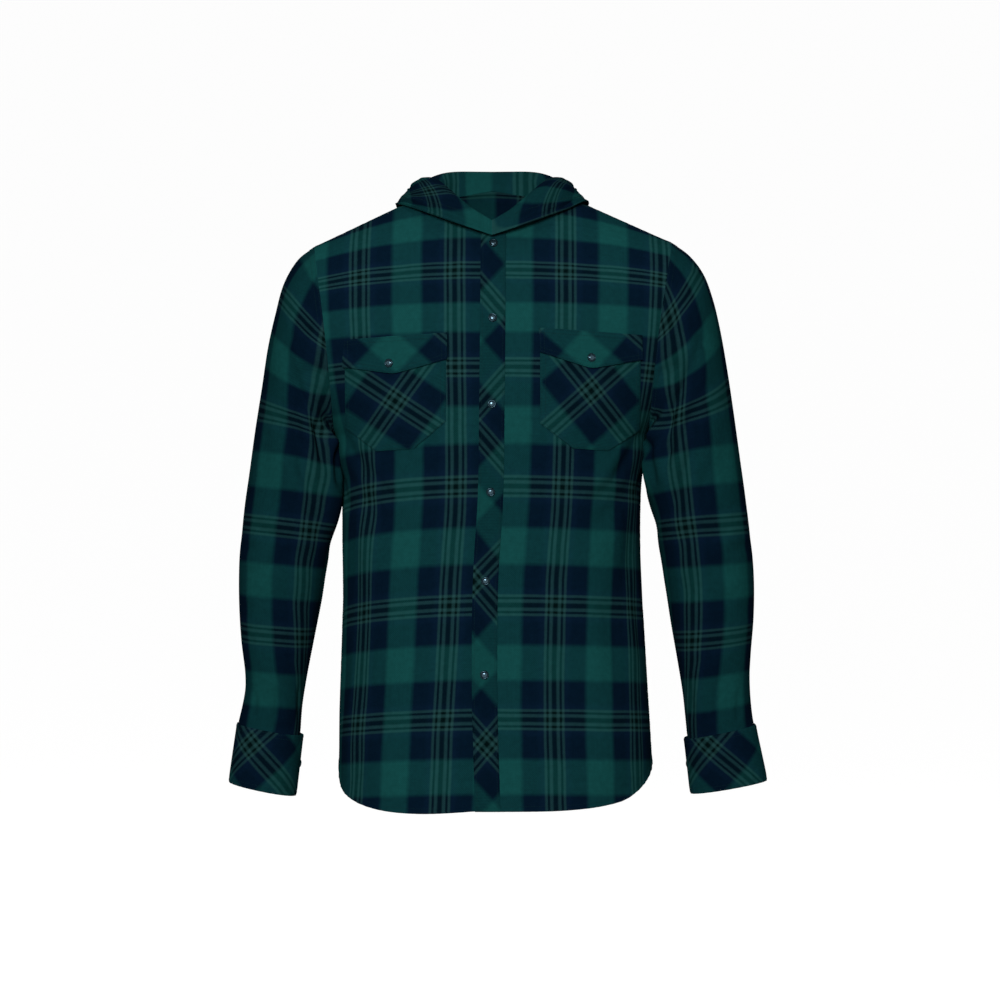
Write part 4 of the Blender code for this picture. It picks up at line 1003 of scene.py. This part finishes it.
def sleeveCloth(word, rings, places):  # threads on a sleeve: round it, and up it, in metres
    x, y, z = np.moveaxis(wrapped(rings), -1, 0)
    value = readRings(sleeve[word], places)
    outline = np.interp(-z, -sleeve[word]["outerZ"], sleeve[word]["outerX"])
    beside, ahead, power = np.maximum(outline - x, 0), np.abs(y - value["middleY"]), sleeve["capRound"]
    capArc = (beside ** power + ahead ** power) ** (1 / power)
    half, arc = rings.shape[1] // 2, levelArc(rings)
    column = np.arange(2 * half + 1)
    quarter = np.where(column < half, half // 2, half + half // 2)
    past = np.abs(column - half) > half // 2
    capArc = np.where(past, capArc[:, quarter] + np.abs(arc) - np.abs(arc[:, quarter]), capArc)
    capArc = capArc * np.where(column < half, -1, 1)
    around = capArc + (arc - capArc) * between(places, sleeve["capUntil"])
    tilt, shift = (read(sleeve["tilt" + word], name, places) for name in ("tilt", "shift"))
    capTilt, capShift = sleeve["capTilt"][word]
    upper = between(z, sleeve["capBelow"])
    lean = upper * (capTilt * beside + capShift) + (1 - upper) * (tilt * (value["outerX"] - x) + shift)
    up = (z + lean - sleeve["weftAt"][word]) * sleeve["weftStretch"]
    return np.stack([sides[word] * (around - read(sleeve["warp" + word], "at", places)), up], axis=-1)


def armhole(word):  # the torso's edge that a sleeve is sewn to, mirrored to the wearer's left
    rows, edge = slice(body["lowRows"], None), 0 if sides[word] < 0 else -1
    return [np.concatenate([back[rows, edge], front[rows, -1][-2:0:-1]]) * (sides[word], 1, 1)
            for back, front in zip(grids["back"], grids["front" + word])]


def makeSleeve(word):
    mirror, half = np.array((sides[word], 1, 1)), body["highRows"]
    edge, edgeNormals = armhole(word)
    around = math.pi * (1 + np.arange(2 * half) / half)
    last = len(sleeve[word]["depth"]) - 1
    places = (np.linspace(0, 1, sleeve["rings"] + 1) * last)[:, None]
    rings = tubePoints(sleeve[word], places, around)
    toEdge = np.clip(1 - places / sleeve["capRings"], 0, 1) ** 2
    rings += (edge - tubePoints(sleeve[word], 0.0, around)) * toEdge[..., None]
    rings[0] = edge
    inCuff = tubePoints(cuff[word], (places - last) * sleeve["cuffPerRing"] + cuff["tuck"], around)
    inCuff = inCuff - cuff["fit"] * gridNormals(inCuff, True)
    rings = rings + (inCuff - rings) * between(places, sleeve["intoCuff"])[..., None]
    arc, cloth, base = levelArc(rings)[:, :-1], sleeveCloth(word, rings, places), gridNormals(rings, True)
    along, degrees = np.broadcast_arrays(places / last, np.degrees(around) % 360)
    fade = between(along, sleeve["foldsFrom"]) * between(along, sleeve["foldsUntil"])
    rings = rings + base * (sleeveFolds(along, degrees, word) * fade)[..., None]
    fade = between(along, sleeve["creasesFrom"]) * between(along, sleeve["creasesUntil"])
    rings = rings + base * (creaseLift(arc, rings[..., 2], sleeveCreases) * fade)[..., None]
    normals = gridNormals(rings, True)
    normals[0] = agreed(normals[0], edgeNormals, wall["sleeveAgree"])
    inside = rings - normals * wall["cloth"]
    seam, away = sleeve["seam"], edgeDistance(rings, "firstRow")
    hug = seam["lift"] * turnedEdge(away, seam["width"], turned["blend"]) * ease(away / seam["calm"])
    hug += puckers(arc, away, seam["puckerReach"], seam["pucker"]) * ease(away / seam["puckerCalm"])
    rings = rings + normals * hug[..., None]
    closed = [wrapped(grid) * mirror for grid in (rings, normals)]
    lines = seamLines(*closed, "firstRow", seam["stitches"])
    lines += seamLines(*closed, "firstColumn", seam["underStitches"], *seam["underEnds"])
    addCloth("sleeve" + word, "flannel_sleeve", rings * mirror, inside * mirror, cloth, lines,
             closed=True)


def makeCuff(word):
    mirror = np.array((sides[word], 1, 1))
    columns, lap = cuff["steps"] * cuff["perStep"], cuff["lapSteps"] * cuff["perStep"]
    step = 2 * math.pi / columns
    passed = step * np.arange(columns + lap + 1)
    around = passed + step * cuff["lapStart"] * cuff["perStep"]
    rings = tubePoints(cuff[word], np.linspace(0, 1, cuff["rows"] + 1)[:, None], around)
    normals = gridNormals(rings[:, :columns], True)
    normals = np.concatenate([normals, normals[:, :lap + 1]], axis=1)
    ramp = math.radians(cuff["lapRamp"])
    rings = rings + normals * (cuff["lapRise"] * ease((passed - 2 * math.pi + ramp) / ramp))[:, None]
    inside = rings - normals * wall["cuff"]
    fromTop, fromLow, along, _ = edgeDistances(rings)
    near, wave = np.minimum(fromTop, fromLow), cuff["wave"]
    shape = pressed(near, cuff["marks"]) + puckers(along, near, cuff["puckerReach"], cuff["pucker"])
    swell = wave["height"] * np.sin(along * wave["along"] + fromTop * wave["down"])
    rings = rings + normals * (shape + swell * ease(near / wave["calm"]))[..., None]
    run = levelRun(rings)
    front = int(np.argmin(rings[0, :, 1]))
    outwards = sides[word] * (run[:, front:front + 1] - run)
    cloth = biasCloth(outwards, rings[..., 2], cuff["crossing"][word], (-45, 45))
    shown = (rings * mirror, normals * mirror)
    lines = seamLines(*shown, "firstRow lastRow", cuff["stitches"])
    lines += seamLines(*shown, "lastColumn", cuff["endStitches"], 1, -1)
    addCloth("cuff" + word, "flannel_bias", rings * mirror, inside * mirror, cloth, lines)


for word in sides:
    makeSleeve(word)
    makeCuff(word)
print("sleeves and cuffs made")


# Placket, pockets and flaps, laid on the fronts

pocket = dict(
    Right=dict(middle=-0.1185, half=0.0625, top=-0.1930, corner=-0.2930, bottom=-0.3245,
               bottomHalf=0.0235, flapTop=-0.1850, flapSide=0.0330, flapPoint=0.0470,
               crossing=(-0.1177, -0.2648), angles=(-34, 54),
               flapGreen=(-0.1193, -0.2024), flapAngles=(-42, 46)),
    Left=dict(middle=0.1210, half=0.0620, top=-0.1870, corner=-0.2960, bottom=-0.3240,
              bottomHalf=0.0220, flapTop=-0.1790, flapSide=0.0300, flapPoint=0.0465,
              crossing=(0.1212, -0.2524), angles=(-51, 42),
              flapGreen=(0.1165, -0.2046), flapAngles=(-41, 48)),
    droop=0.055, columns=60, sideRows=48, cornerRows=16, snapShift={"Right": -0.0065, "Left": 0.0},
    crown=dict(height=0.0009, z=-0.255, across=0.03, up=0.035),
    marks=((0.0006, 0, 0.0009), (0.00018, 0.0022, 0.0008)), turned=(0.0003, 0.0060, 0.001),
    pucker=dict(across=0.7, up=1.0, until=1.0, reach=0.008, size=0.00016),
    seams=[("firstColumn lastColumn lastRow", (0.0018, 0.0066)), ("firstRow", (0.0150,))],
)
flap = dict(
    overhang=0.0015, pointRounding=0.08, columns=64, rows=24, stand=0.0022,
    marks=((0.0006, 0, 0.0009), (0.00020, 0.0022, 0.0008)), turned=(0.0003, 0.0060, 0.001),
    pucker=dict(across=1.0, up=0.4, until=1.0, reach=0.007, size=0.00016),
    seams=[("firstColumn lastColumn lastRow", (0.0018, 0.0066)), ("firstRow", (0.0018, 0.0062))],
)


def layPatch(name, slot, x, z, lift, thickness, form, crown, cloth):
    under, normals = onFront(x, z, lift)
    away, pucker = np.min(edgeDistances(under), axis=0), form["pucker"]
    shape = crown + pressed(away, form["marks"])
    if "turned" in form:
        lifted, *edge = form["turned"]
        shape = shape + lifted * turnedEdge(away, *edge)
    ripples = x * pucker["across"] + z * pucker["up"]
    shape = shape + puckers(ripples, np.minimum(away, pucker["until"]), pucker["reach"], pucker["size"])
    over = under + normals * (thickness + shape)[..., None]
    lines = [line for seam in form["seams"] for line in seamLines(over, normals, *seam)]
    addCloth(name, slot, over, under, cloth, lines)


def makePlacket():
    angles, rises = frontGrid(1)
    heights = torsoSmooth(angles, rises)[:body["lowRows"] + body["neckRow"] + 1, 0, 2]
    z = np.linspace(heights[0], heights[-1] - placket["belowNeck"], placket["rows"] + 1)[:, None]
    across = np.linspace(-0.5, 0.5, placket["columns"] + 1) * placket["width"] + 0 * z
    swell, z = placket["swell"], z + 0 * across
    crown = bell(across, 0, swell["half"]) * (1 + swell["share"] * np.sin(z * swell["waves"]))
    first, second = (biasCloth(across, z, (0.0, placket[name]), placket["angles"])
                     for name in ("warpAt", "weftAt"))
    cloth = np.stack([first[..., 0], second[..., 1]], axis=-1)
    layPatch("placket", "flannel_bias", placketX(z) + across, z, wall["lay"], wall["band"], placket,
             crown * swell["height"], cloth)


def drooped(size, x, z):
    return z - pocket["droop"] * (np.abs(x) - abs(size["middle"]))


def makePocket(word):
    size, bulge = pocket[word], pocket["crown"]
    top, corner, bottom = size["top"], size["corner"], size["bottom"]
    heights = np.concatenate([np.linspace(top, corner, pocket["sideRows"] + 1),
                              np.linspace(corner, bottom, pocket["cornerRows"] + 1)[1:]])[:, None]
    halves = np.interp(-heights, (-corner, -bottom), (size["half"], size["bottomHalf"]))
    x = size["middle"] + halves * np.linspace(-1, 1, pocket["columns"] + 1)
    z = drooped(size, x, heights)
    crown = bulge["height"] * bell(x, size["middle"], bulge["across"]) * bell(z, bulge["z"], bulge["up"])
    cloth = biasCloth(x, z, size["crossing"], size["angles"])
    layPatch("pocket" + word, "flannel_pocket", x, z, wall["pocketLay"], wall["cloth"], pocket,
             crown, cloth)


def flapBottom(size, across):
    rounded = np.hypot(across, flap["pointRounding"])
    return size["flapPoint"] - (size["flapPoint"] - size["flapSide"]) * rounded


def makeFlap(word):
    size = pocket[word]
    across = np.linspace(-1, 1, flap["columns"] + 1)
    down = np.linspace(0, 1, flap["rows"] + 1)[:, None]
    x = size["middle"] + (size["half"] + flap["overhang"]) * across + 0 * down
    z = drooped(size, x, size["flapTop"] - down * flapBottom(size, across))
    lift = wall["pocketLay"] + wall["cloth"] + wall["lay"] + flap["stand"] * down ** 2
    cloth = biasCloth(x, z, size["flapGreen"], size["flapAngles"])
    cloth = cloth + np.array((flannel["warpRepeat"], flannel["weftRepeat"])) / 2
    layPatch("flap" + word, "flannel_pocket", x, z, lift, wall["cloth"], flap, 0.0, cloth)


makePlacket()
for word in sides:
    makePocket(word)
    makeFlap(word)
print("placket, pockets and flaps made")


# Hood

hood = dict(
    rings=tableOf("width front back zFront zSide zBack", [
        (0.0620, -0.0860, 0.059, -0.050, 0.012, 0.015), (0.0730, -0.0885, 0.070, -0.045, 0.020, 0.031),
        (0.0880, -0.0925, 0.083, -0.042, 0.021, 0.040), (0.0990, -0.0965, 0.098, -0.046, 0.015, 0.022),
        (0.1060, -0.0980, 0.112, -0.050, 0.008, -0.055), (0.1110, -0.0985, 0.124, -0.053, 0.003, -0.130),
        (0.1150, -0.0990, 0.131, -0.055, 0.000, -0.200), (0.1180, -0.0995, 0.149, -0.057, -0.003, -0.203),
        (0.1205, -0.1000, 0.160, -0.058, -0.006, -0.125), (0.1220, -0.1005, 0.155, -0.059, -0.008, -0.045),
        (0.1235, -0.1005, 0.139, -0.060, -0.009, 0.010),
    ]),
    planBend=0.55, frontBend=1.15, backBend=5.0, clearance=0.0030, even=0.7, standPlaces=3, search=0.060,
    over=0.003, lieBehind=0.045, lieBelow=(-0.005, -0.085), count=96, settleFrom=30,
    lie=tableOf("place share", [(3.5, 0.0), (5.0, 0.80), (6.4, 0.85), (7.2, 0.50), (8.5, 0.36),
                                (10.0, 0.25)]),
    faceHem=0.0200, weftAt=0.0880, weftStretch=1.1, standUntil=(0.12, 0.37),
    warpRight=tableOf("away warp", [(0, 0.0785), (0.036, 0.041), (0.043, 0.0145), (0.057, 0),
                                    (0.357, -0.300)]),
    warpLeft=tableOf("away warp", [(0, 0.041), (0.025, 0.0145), (0.045, 0), (0.065, -0.0145),
                                   (0.365, -0.3145)]),
    faceShift={"Right": -0.012, "Left": 0.029},
    columnSeam=dict(lift=0.0004, width=0.0075, blend=0.0012), hemSeam=dict(lift=0.0005, blend=0.0014),
    calm=dict(back=0.02, neck=0.02, face=0.012, front=0.02, seams=0.004),
    facePucker=(0.017, 0.010, 0.00022), backPucker=(0.010, 0.00020),
    backStitches=(0.0016, 0.0066), faceStitches=(0.0020, 0.0186), neckStitches=(0.0022,),
    threadUnder=0.0006,
)

# Across is the distance from the centre back, along the way from the neck seam to the face edge
hoodCreases = tableOf(creaseColumns, [
    (0.050, 0.110, 60, 0.050, 0.0090, -0.0016, 0.12),
    (0.095, 0.085, 120, 0.045, 0.0080, -0.0014, -0.12),
    (0.120, 0.140, 78, 0.050, 0.0090, -0.0016, 0.10),
    (0.030, 0.190, 28, 0.050, 0.0100, -0.0016, 0.14),
    (0.085, 0.240, 150, 0.055, 0.0100, -0.0016, -0.14),
    (0.040, 0.300, 64, 0.055, 0.0100, -0.0014, 0.10),
    (0.110, 0.300, 98, 0.050, 0.0090, -0.0013, 0.08),
    (0.070, 0.360, 20, 0.045, 0.0090, -0.0012, -0.10),
    (0.175, 0.050, 84, 0.035, 0.0070, -0.0012, 0.10),
    (0.205, 0.060, 100, 0.035, 0.0065, -0.0012, -0.10),
])


def planShare(turn):
    cosine = np.cos(turn)
    return np.where(cosine > 0, -cosine, np.abs(cosine) ** hood["planBend"])


def turnAt(share):
    return np.where(share < 0, np.arccos(np.clip(-share, -1, 1)),
                    np.arccos(-np.clip(share, 0, 1) ** (1 / hood["planBend"])))


def hoodRing(place, turn):
    value, sine = readRings(hood["rings"], place), np.sin(turn)
    x = value["width"] * sine
    y = (value["front"] + value["back"] + (value["back"] - value["front"]) * planShare(turn)) / 2
    inFront = value["zFront"] + (value["zSide"] - value["zFront"]) * sine ** hood["frontBend"]
    behind = value["zBack"] + (value["zSide"] - value["zBack"]) * sine ** hood["backBend"]
    return np.stack([x, y, np.where(turn < math.pi / 2, inFront, behind)], axis=-1)


def neckEdge(word):  # the torso's edge that a half of the hood is sewn to, from the centre front
    side, first = sides[word], body["lowRows"] + body["neckRow"]
    middle, neck = body["backColumns"], body["backNeckColumn"]
    columns = slice(middle + side * neck, middle - side, -side)
    rim, rimNormals = (grid[first:, 0] * (side, 1, 1) for grid in grids["front" + word])
    back, backNormals = (grid[-1, columns][1:] * (side, 1, 1) for grid in grids["back"])
    past = int((rim[:, 0] < 0).sum()) - 1
    cross = past - rim[past, 0] / (rim[past + 1, 0] - rim[past, 0])
    at = np.linspace(cross, len(rim) - 1, body["highRows"] - body["neckRow"] + 1)
    index = np.arange(len(rim))
    points = np.concatenate([pointsAt(at, index, rim), back])
    return points, unit(np.concatenate([pointsAt(at, index, rimNormals), backNormals]))


def treeOf(name, lift, flipped):  # a panel that the hood lies on
    points, normals = grids[name]
    rows, columns = points.shape[:2]
    r, c = np.meshgrid(np.arange(rows - 1), np.arange(columns - 1), indexing="ij")
    first = (r * columns + c).reshape(-1)
    faces = np.stack([first, first + 1, first + columns + 1, first + columns], axis=1)
    faces = faces[:, ::-1] if flipped else faces
    return BVHTree.FromPolygons((points + normals * lift).reshape(-1, 3).tolist(), faces.tolist())


def settle(points, beneath):
    settled = points.copy()
    for place in np.ndindex(points.shape[:2]):
        for tree in beneath:
            near, normal, _, distance = tree.find_nearest(Vector(settled[place]), hood["search"])
            if near is None:
                continue
            height = (Vector(settled[place]) - near).dot(normal)
            along = distance ** 2 - height ** 2
            if height < hood["clearance"] and along < hood["over"] ** 2:
                settled[place] += np.array(normal) * (hood["clearance"] - height)
    return settled


def lieOnBack(points, places, backTree):
    shares = read(hood["lie"], "share", places)[:, None] * ease(points[..., 1] / hood["lieBehind"])
    shares = shares * between(points[..., 2], hood["lieBelow"])
    lowered = points.copy()
    for place in np.ndindex(points.shape[:2]):
        near, normal, _, _ = backTree.find_nearest(Vector(points[place]))
        height = (Vector(points[place]) - near).dot(normal)
        lowered[place] -= np.array(normal) * shares[place] * max(0, height - hood["clearance"])
    return lowered


def hoodCloth(word, points):  # as cut: the neck seam level, the face edge upright from the front
    fromNeck, fromFace, fromFront, fromBack = edgeDistances(points)
    share = fromNeck / (fromNeck + fromFace)
    turn = share * math.pi / 2
    leaf = between(share, hood["standUntil"])
    level = fromFront[0, -1] - fromFront * np.cos(turn) + hood["faceShift"][word]
    away = fromBack * (1 - leaf) + leaf * level
    table = hood["warp" + word]
    warp = np.interp(away, table["away"], table["warp"])
    weft = fromFront * np.sin(turn) * hood["weftStretch"] - hood["weftAt"]
    return np.stack([sides[word] * warp, weft], axis=-1)


def hoodForm(word, beneath):  # the outside before its creases, and the neck edge's normals
    edge, edgeNormals = neckEdge(word)
    mirror = np.array((sides[word], 1, 1))
    front, back = hood["rings"]["front"][0], hood["rings"]["back"][0]
    turn = turnAt((2 * edge[:, 1] - front - back) / (back - front))
    turn[0], turn[-1] = 0, math.pi
    last = len(hood["rings"]["width"]) - 1
    places = np.linspace(0, last, hood["count"] + 1)[:, None]
    behind = turn > math.pi / 2
    even = turn.copy()
    even[behind] = np.linspace(turn[behind][0], math.pi, behind.sum())
    turn = turn + (even - turn) * hood["even"] * ease(places / hood["standPlaces"])
    rings = hoodRing(places, turn)
    rings += (edge - rings[0]) * (np.clip(1 - places, 0, 1) ** 2)[..., None]
    rings[0] = edge
    outside, low = rings * mirror, hood["settleFrom"]
    outside[low:] = settle(lieOnBack(outside[low:], places[low:, 0], beneath[-1]), beneath)
    outside[:, (0, -1), 0] = 0
    return outside, edgeNormals * mirror


def makeHood(word, beneath):
    outside, edgeNormals = hoodForm(word, beneath)
    cloth = hoodCloth(word, outside)
    fromNeck, fromFace, fromFront, fromBack = edgeDistances(outside)
    calm, side = hood["calm"], sides[word]
    still = ease(fromBack / calm["back"]) * ease(fromNeck / calm["neck"])
    still = still * ease(fromFace / calm["face"]) * ease(fromFront / calm["front"])
    lift = creaseLift(fromBack, fromNeck, hoodCreases) * still
    outside = outside + gridNormals(outside) * side * lift[..., None]
    normals = gridNormals(outside) * side
    normals[0] = agreed(normals[0], edgeNormals, wall["hoodAgree"])
    normals[:, (0, -1), 0] = 0
    normals = unit(normals)
    inside = outside - normals * wall["cloth"]
    seam, faceHem, rippleAt = hood["columnSeam"], hood["hemSeam"], hood["facePucker"][0]
    shape = seam["lift"] * turnedEdge(fromBack, seam["width"], seam["blend"])
    shape = shape + faceHem["lift"] * turnedEdge(fromFace, hood["faceHem"], faceHem["blend"])
    shape = shape + puckers(fromBack, np.abs(fromFace - rippleAt), *hood["facePucker"][1:])
    shape = shape + puckers(fromNeck, fromBack, *hood["backPucker"])
    outside = outside + normals * (shape * ease(fromFront / calm["seams"]))[..., None]
    lines = seamLines(outside, normals, "lastColumn", hood["backStitches"])
    lines += seamLines(outside, normals, "lastRow", hood["faceStitches"], 2)
    line, facing = lines[-1]  # the hem's stitches show on the inside too
    lines.append((line - facing * (wall["cloth"] + hood["threadUnder"]), -facing))
    lines += seamLines(outside, normals, "firstRow", hood["neckStitches"], 1, -1)
    addCloth("hood" + word, "flannel_hood", outside, inside, cloth, lines)


beneath = [treeOf("frontLeft", wall["band"] + wall["lay"], False), treeOf("frontRight", 0.0, True),
           treeOf("back", 0.0, True)]
for word in sides:
    makeHood(word, beneath)
print("hood made")


# Snaps

snap = dict(
    frontHeights=(-0.0700, -0.1632, -0.2689, -0.3762, -0.4850, -0.5997), pocketRise=0.0125, steps=40,
    ring=((0.0034, 0.00160), (0.0036, 0.00195), (0.0040, 0.00222), (0.0045, 0.00226), (0.0049, 0.00205),
          (0.0052, 0.00165), (0.0053, 0.00115), (0.0052, 0.00060), (0.0048, 0.00015), (0.0048, 0.0)),
    cap=((0.0, 0.00238), (0.0010, 0.00236), (0.0020, 0.00225), (0.0028, 0.00205), (0.0033, 0.00175),
         (0.0035, 0.00140)),
    capBase=0.0004, patch=0.02,
)


def lathe(profile, steps, base=0):
    turns = 2 * math.pi * np.arange(steps) / steps
    points, rings = [], []
    for radius, height in profile:
        ring = [(radius * math.cos(turn), radius * math.sin(turn), height) for turn in turns]
        start, ring = base + len(points), ring if radius else ring[:1]
        rings.append([start + k % len(ring) for k in range(steps + 1)])
        points += ring
    faces = []
    for upper, lower in zip(rings, rings[1:]):
        for k in range(steps):
            corners = (upper[k], lower[k], lower[k + 1], upper[k + 1])
            faces.append(corners[:3] if upper[k] == upper[k + 1] else corners)
    return points, faces


def makeSnap(name, place, facing):
    capPoints, capFaces = lathe(snap["cap"], snap["steps"])
    ringPoints, ringFaces = lathe(snap["ring"], snap["steps"], len(capPoints))
    turn = Vector(facing).to_track_quat("Z", "Y")
    base = Vector(place) + Vector(facing) * wall["lay"]
    points = [tuple(base + turn @ Vector(point)) for point in capPoints + ringPoints]
    mesh = meshOf(name, points, capFaces + ringFaces)
    addPiece(name, mesh, [nodeOf(name)], finishes["pearl_snap"])
    for polygon in mesh.polygons[len(capFaces):]:
        polygon.material_index = 1
    mesh.shade_smooth()


def makeSnaps():
    for number, z in enumerate(snap["frontHeights"], 1):
        makeSnap(f"snapFront{number}", *onFront(placketX(z), z, wall["lay"] + wall["band"]))
    lift = wall["pocketLay"] + 2 * wall["cloth"] + wall["lay"] + snap["capBase"]
    around = (cuff["lapStart"] + cuff["lapSteps"] / 2) * 2 * math.pi / cuff["steps"]
    for word, side in sides.items():
        size = pocket[word]
        point = size["flapTop"] - flapBottom(size, 0.0) + snap["pocketRise"]
        makeSnap("snapPocket" + word, *onFront(size["middle"] + pocket["snapShift"][word], point, lift))
        near = np.array((-1, 0, 1)) * snap["patch"]
        patch = tubePoints(cuff[word], cuff["snapPlace"] + near[:, None], around + near)
        facing = gridNormals(patch)[1, 1] * (side, 1, 1)
        makeSnap("snapCuff" + word, patch[1, 1] * (side, 1, 1) + facing * cuff["lapRise"], facing)


makeSnaps()
print("snaps made")


# Floor, light and camera

studio = dict(floor=-1.45, flatRadius=5.5, radius=9.0, height=7.0, steps=96, bendSteps=12,
              colour=(0.15, 0.15, 0.15), glow=0.94, worldStrength=0.11)


def makeStudio():
    reach = studio["radius"] - studio["flatRadius"]
    turns = np.linspace(0, math.pi / 2, studio["bendSteps"] + 1)
    profile = [(0.0, studio["floor"])]
    profile += [(studio["flatRadius"] + reach * math.sin(turn),
                 studio["floor"] + reach * (1 - math.cos(turn))) for turn in turns]
    profile.append((studio["radius"], studio["height"]))
    mesh = meshOf("paleFloor", *lathe(profile, studio["steps"]))
    mesh.flip_normals()
    mesh.shade_smooth()
    floor = bpy.data.objects.new("paleFloor", mesh)
    bpy.context.scene.collection.objects.link(floor)
    made, tree, shader = newMaterial("paleFloor")
    setInputs(tree, shader, {"Base Color": studio["colour"], "Roughness": 1.0,
                             "Emission Color": (1.0, 1.0, 1.0), "Emission Strength": studio["glow"]})
    mesh.materials.append(made)
    floor.visible_diffuse = False
    floor.visible_shadow = False


lights = {
    "frontLight": dict(place=(-0.6, -4.6, 0.8), target=(0, 0, -0.35), size=1.6, power=138),
    "topLight": dict(place=(0.3, -0.8, 2.8), target=(0, 0, -0.3), size=1.6, power=14),
    "backLight": dict(place=(0.8, 4.4, 1.0), target=(0, 0, -0.35), size=2.0, power=120),
}


def softLight(name, place, target, size, power):
    lamp = bpy.data.lights.new(name, "AREA")
    lamp.shape = "DISK"
    lamp.size = size
    lamp.energy = power
    made = bpy.data.objects.new(name, lamp)
    made.location = place
    made.rotation_euler = (Vector(target) - Vector(place)).to_track_quat("-Z", "Y").to_euler()
    bpy.context.scene.collection.objects.link(made)


makeStudio()
for name, light in lights.items():
    softLight(name, **light)

world = bpy.data.worlds.new("softRoom")
world.use_nodes = True
setInputs(world.node_tree, world.node_tree.nodes["Background"],
          {"Color": (1.0, 1.0, 1.0), "Strength": studio["worldStrength"]})
bpy.context.scene.world = world
bpy.context.scene.view_settings.view_transform = "Standard"

view = dict(place=(0.010, -3.2, -0.386), focal=2519.7, frameWidth=1000, sensor=36.0)
lens = bpy.data.cameras.new("camera")
lens.sensor_width = view["sensor"]
lens.lens = view["sensor"] * view["focal"] / view["frameWidth"]
camera = bpy.data.objects.new("camera", lens)
camera.location = view["place"]
camera.rotation_euler = (math.pi / 2, 0, 0)
bpy.context.scene.collection.objects.link(camera)
bpy.context.scene.camera = camera
print("studio made")
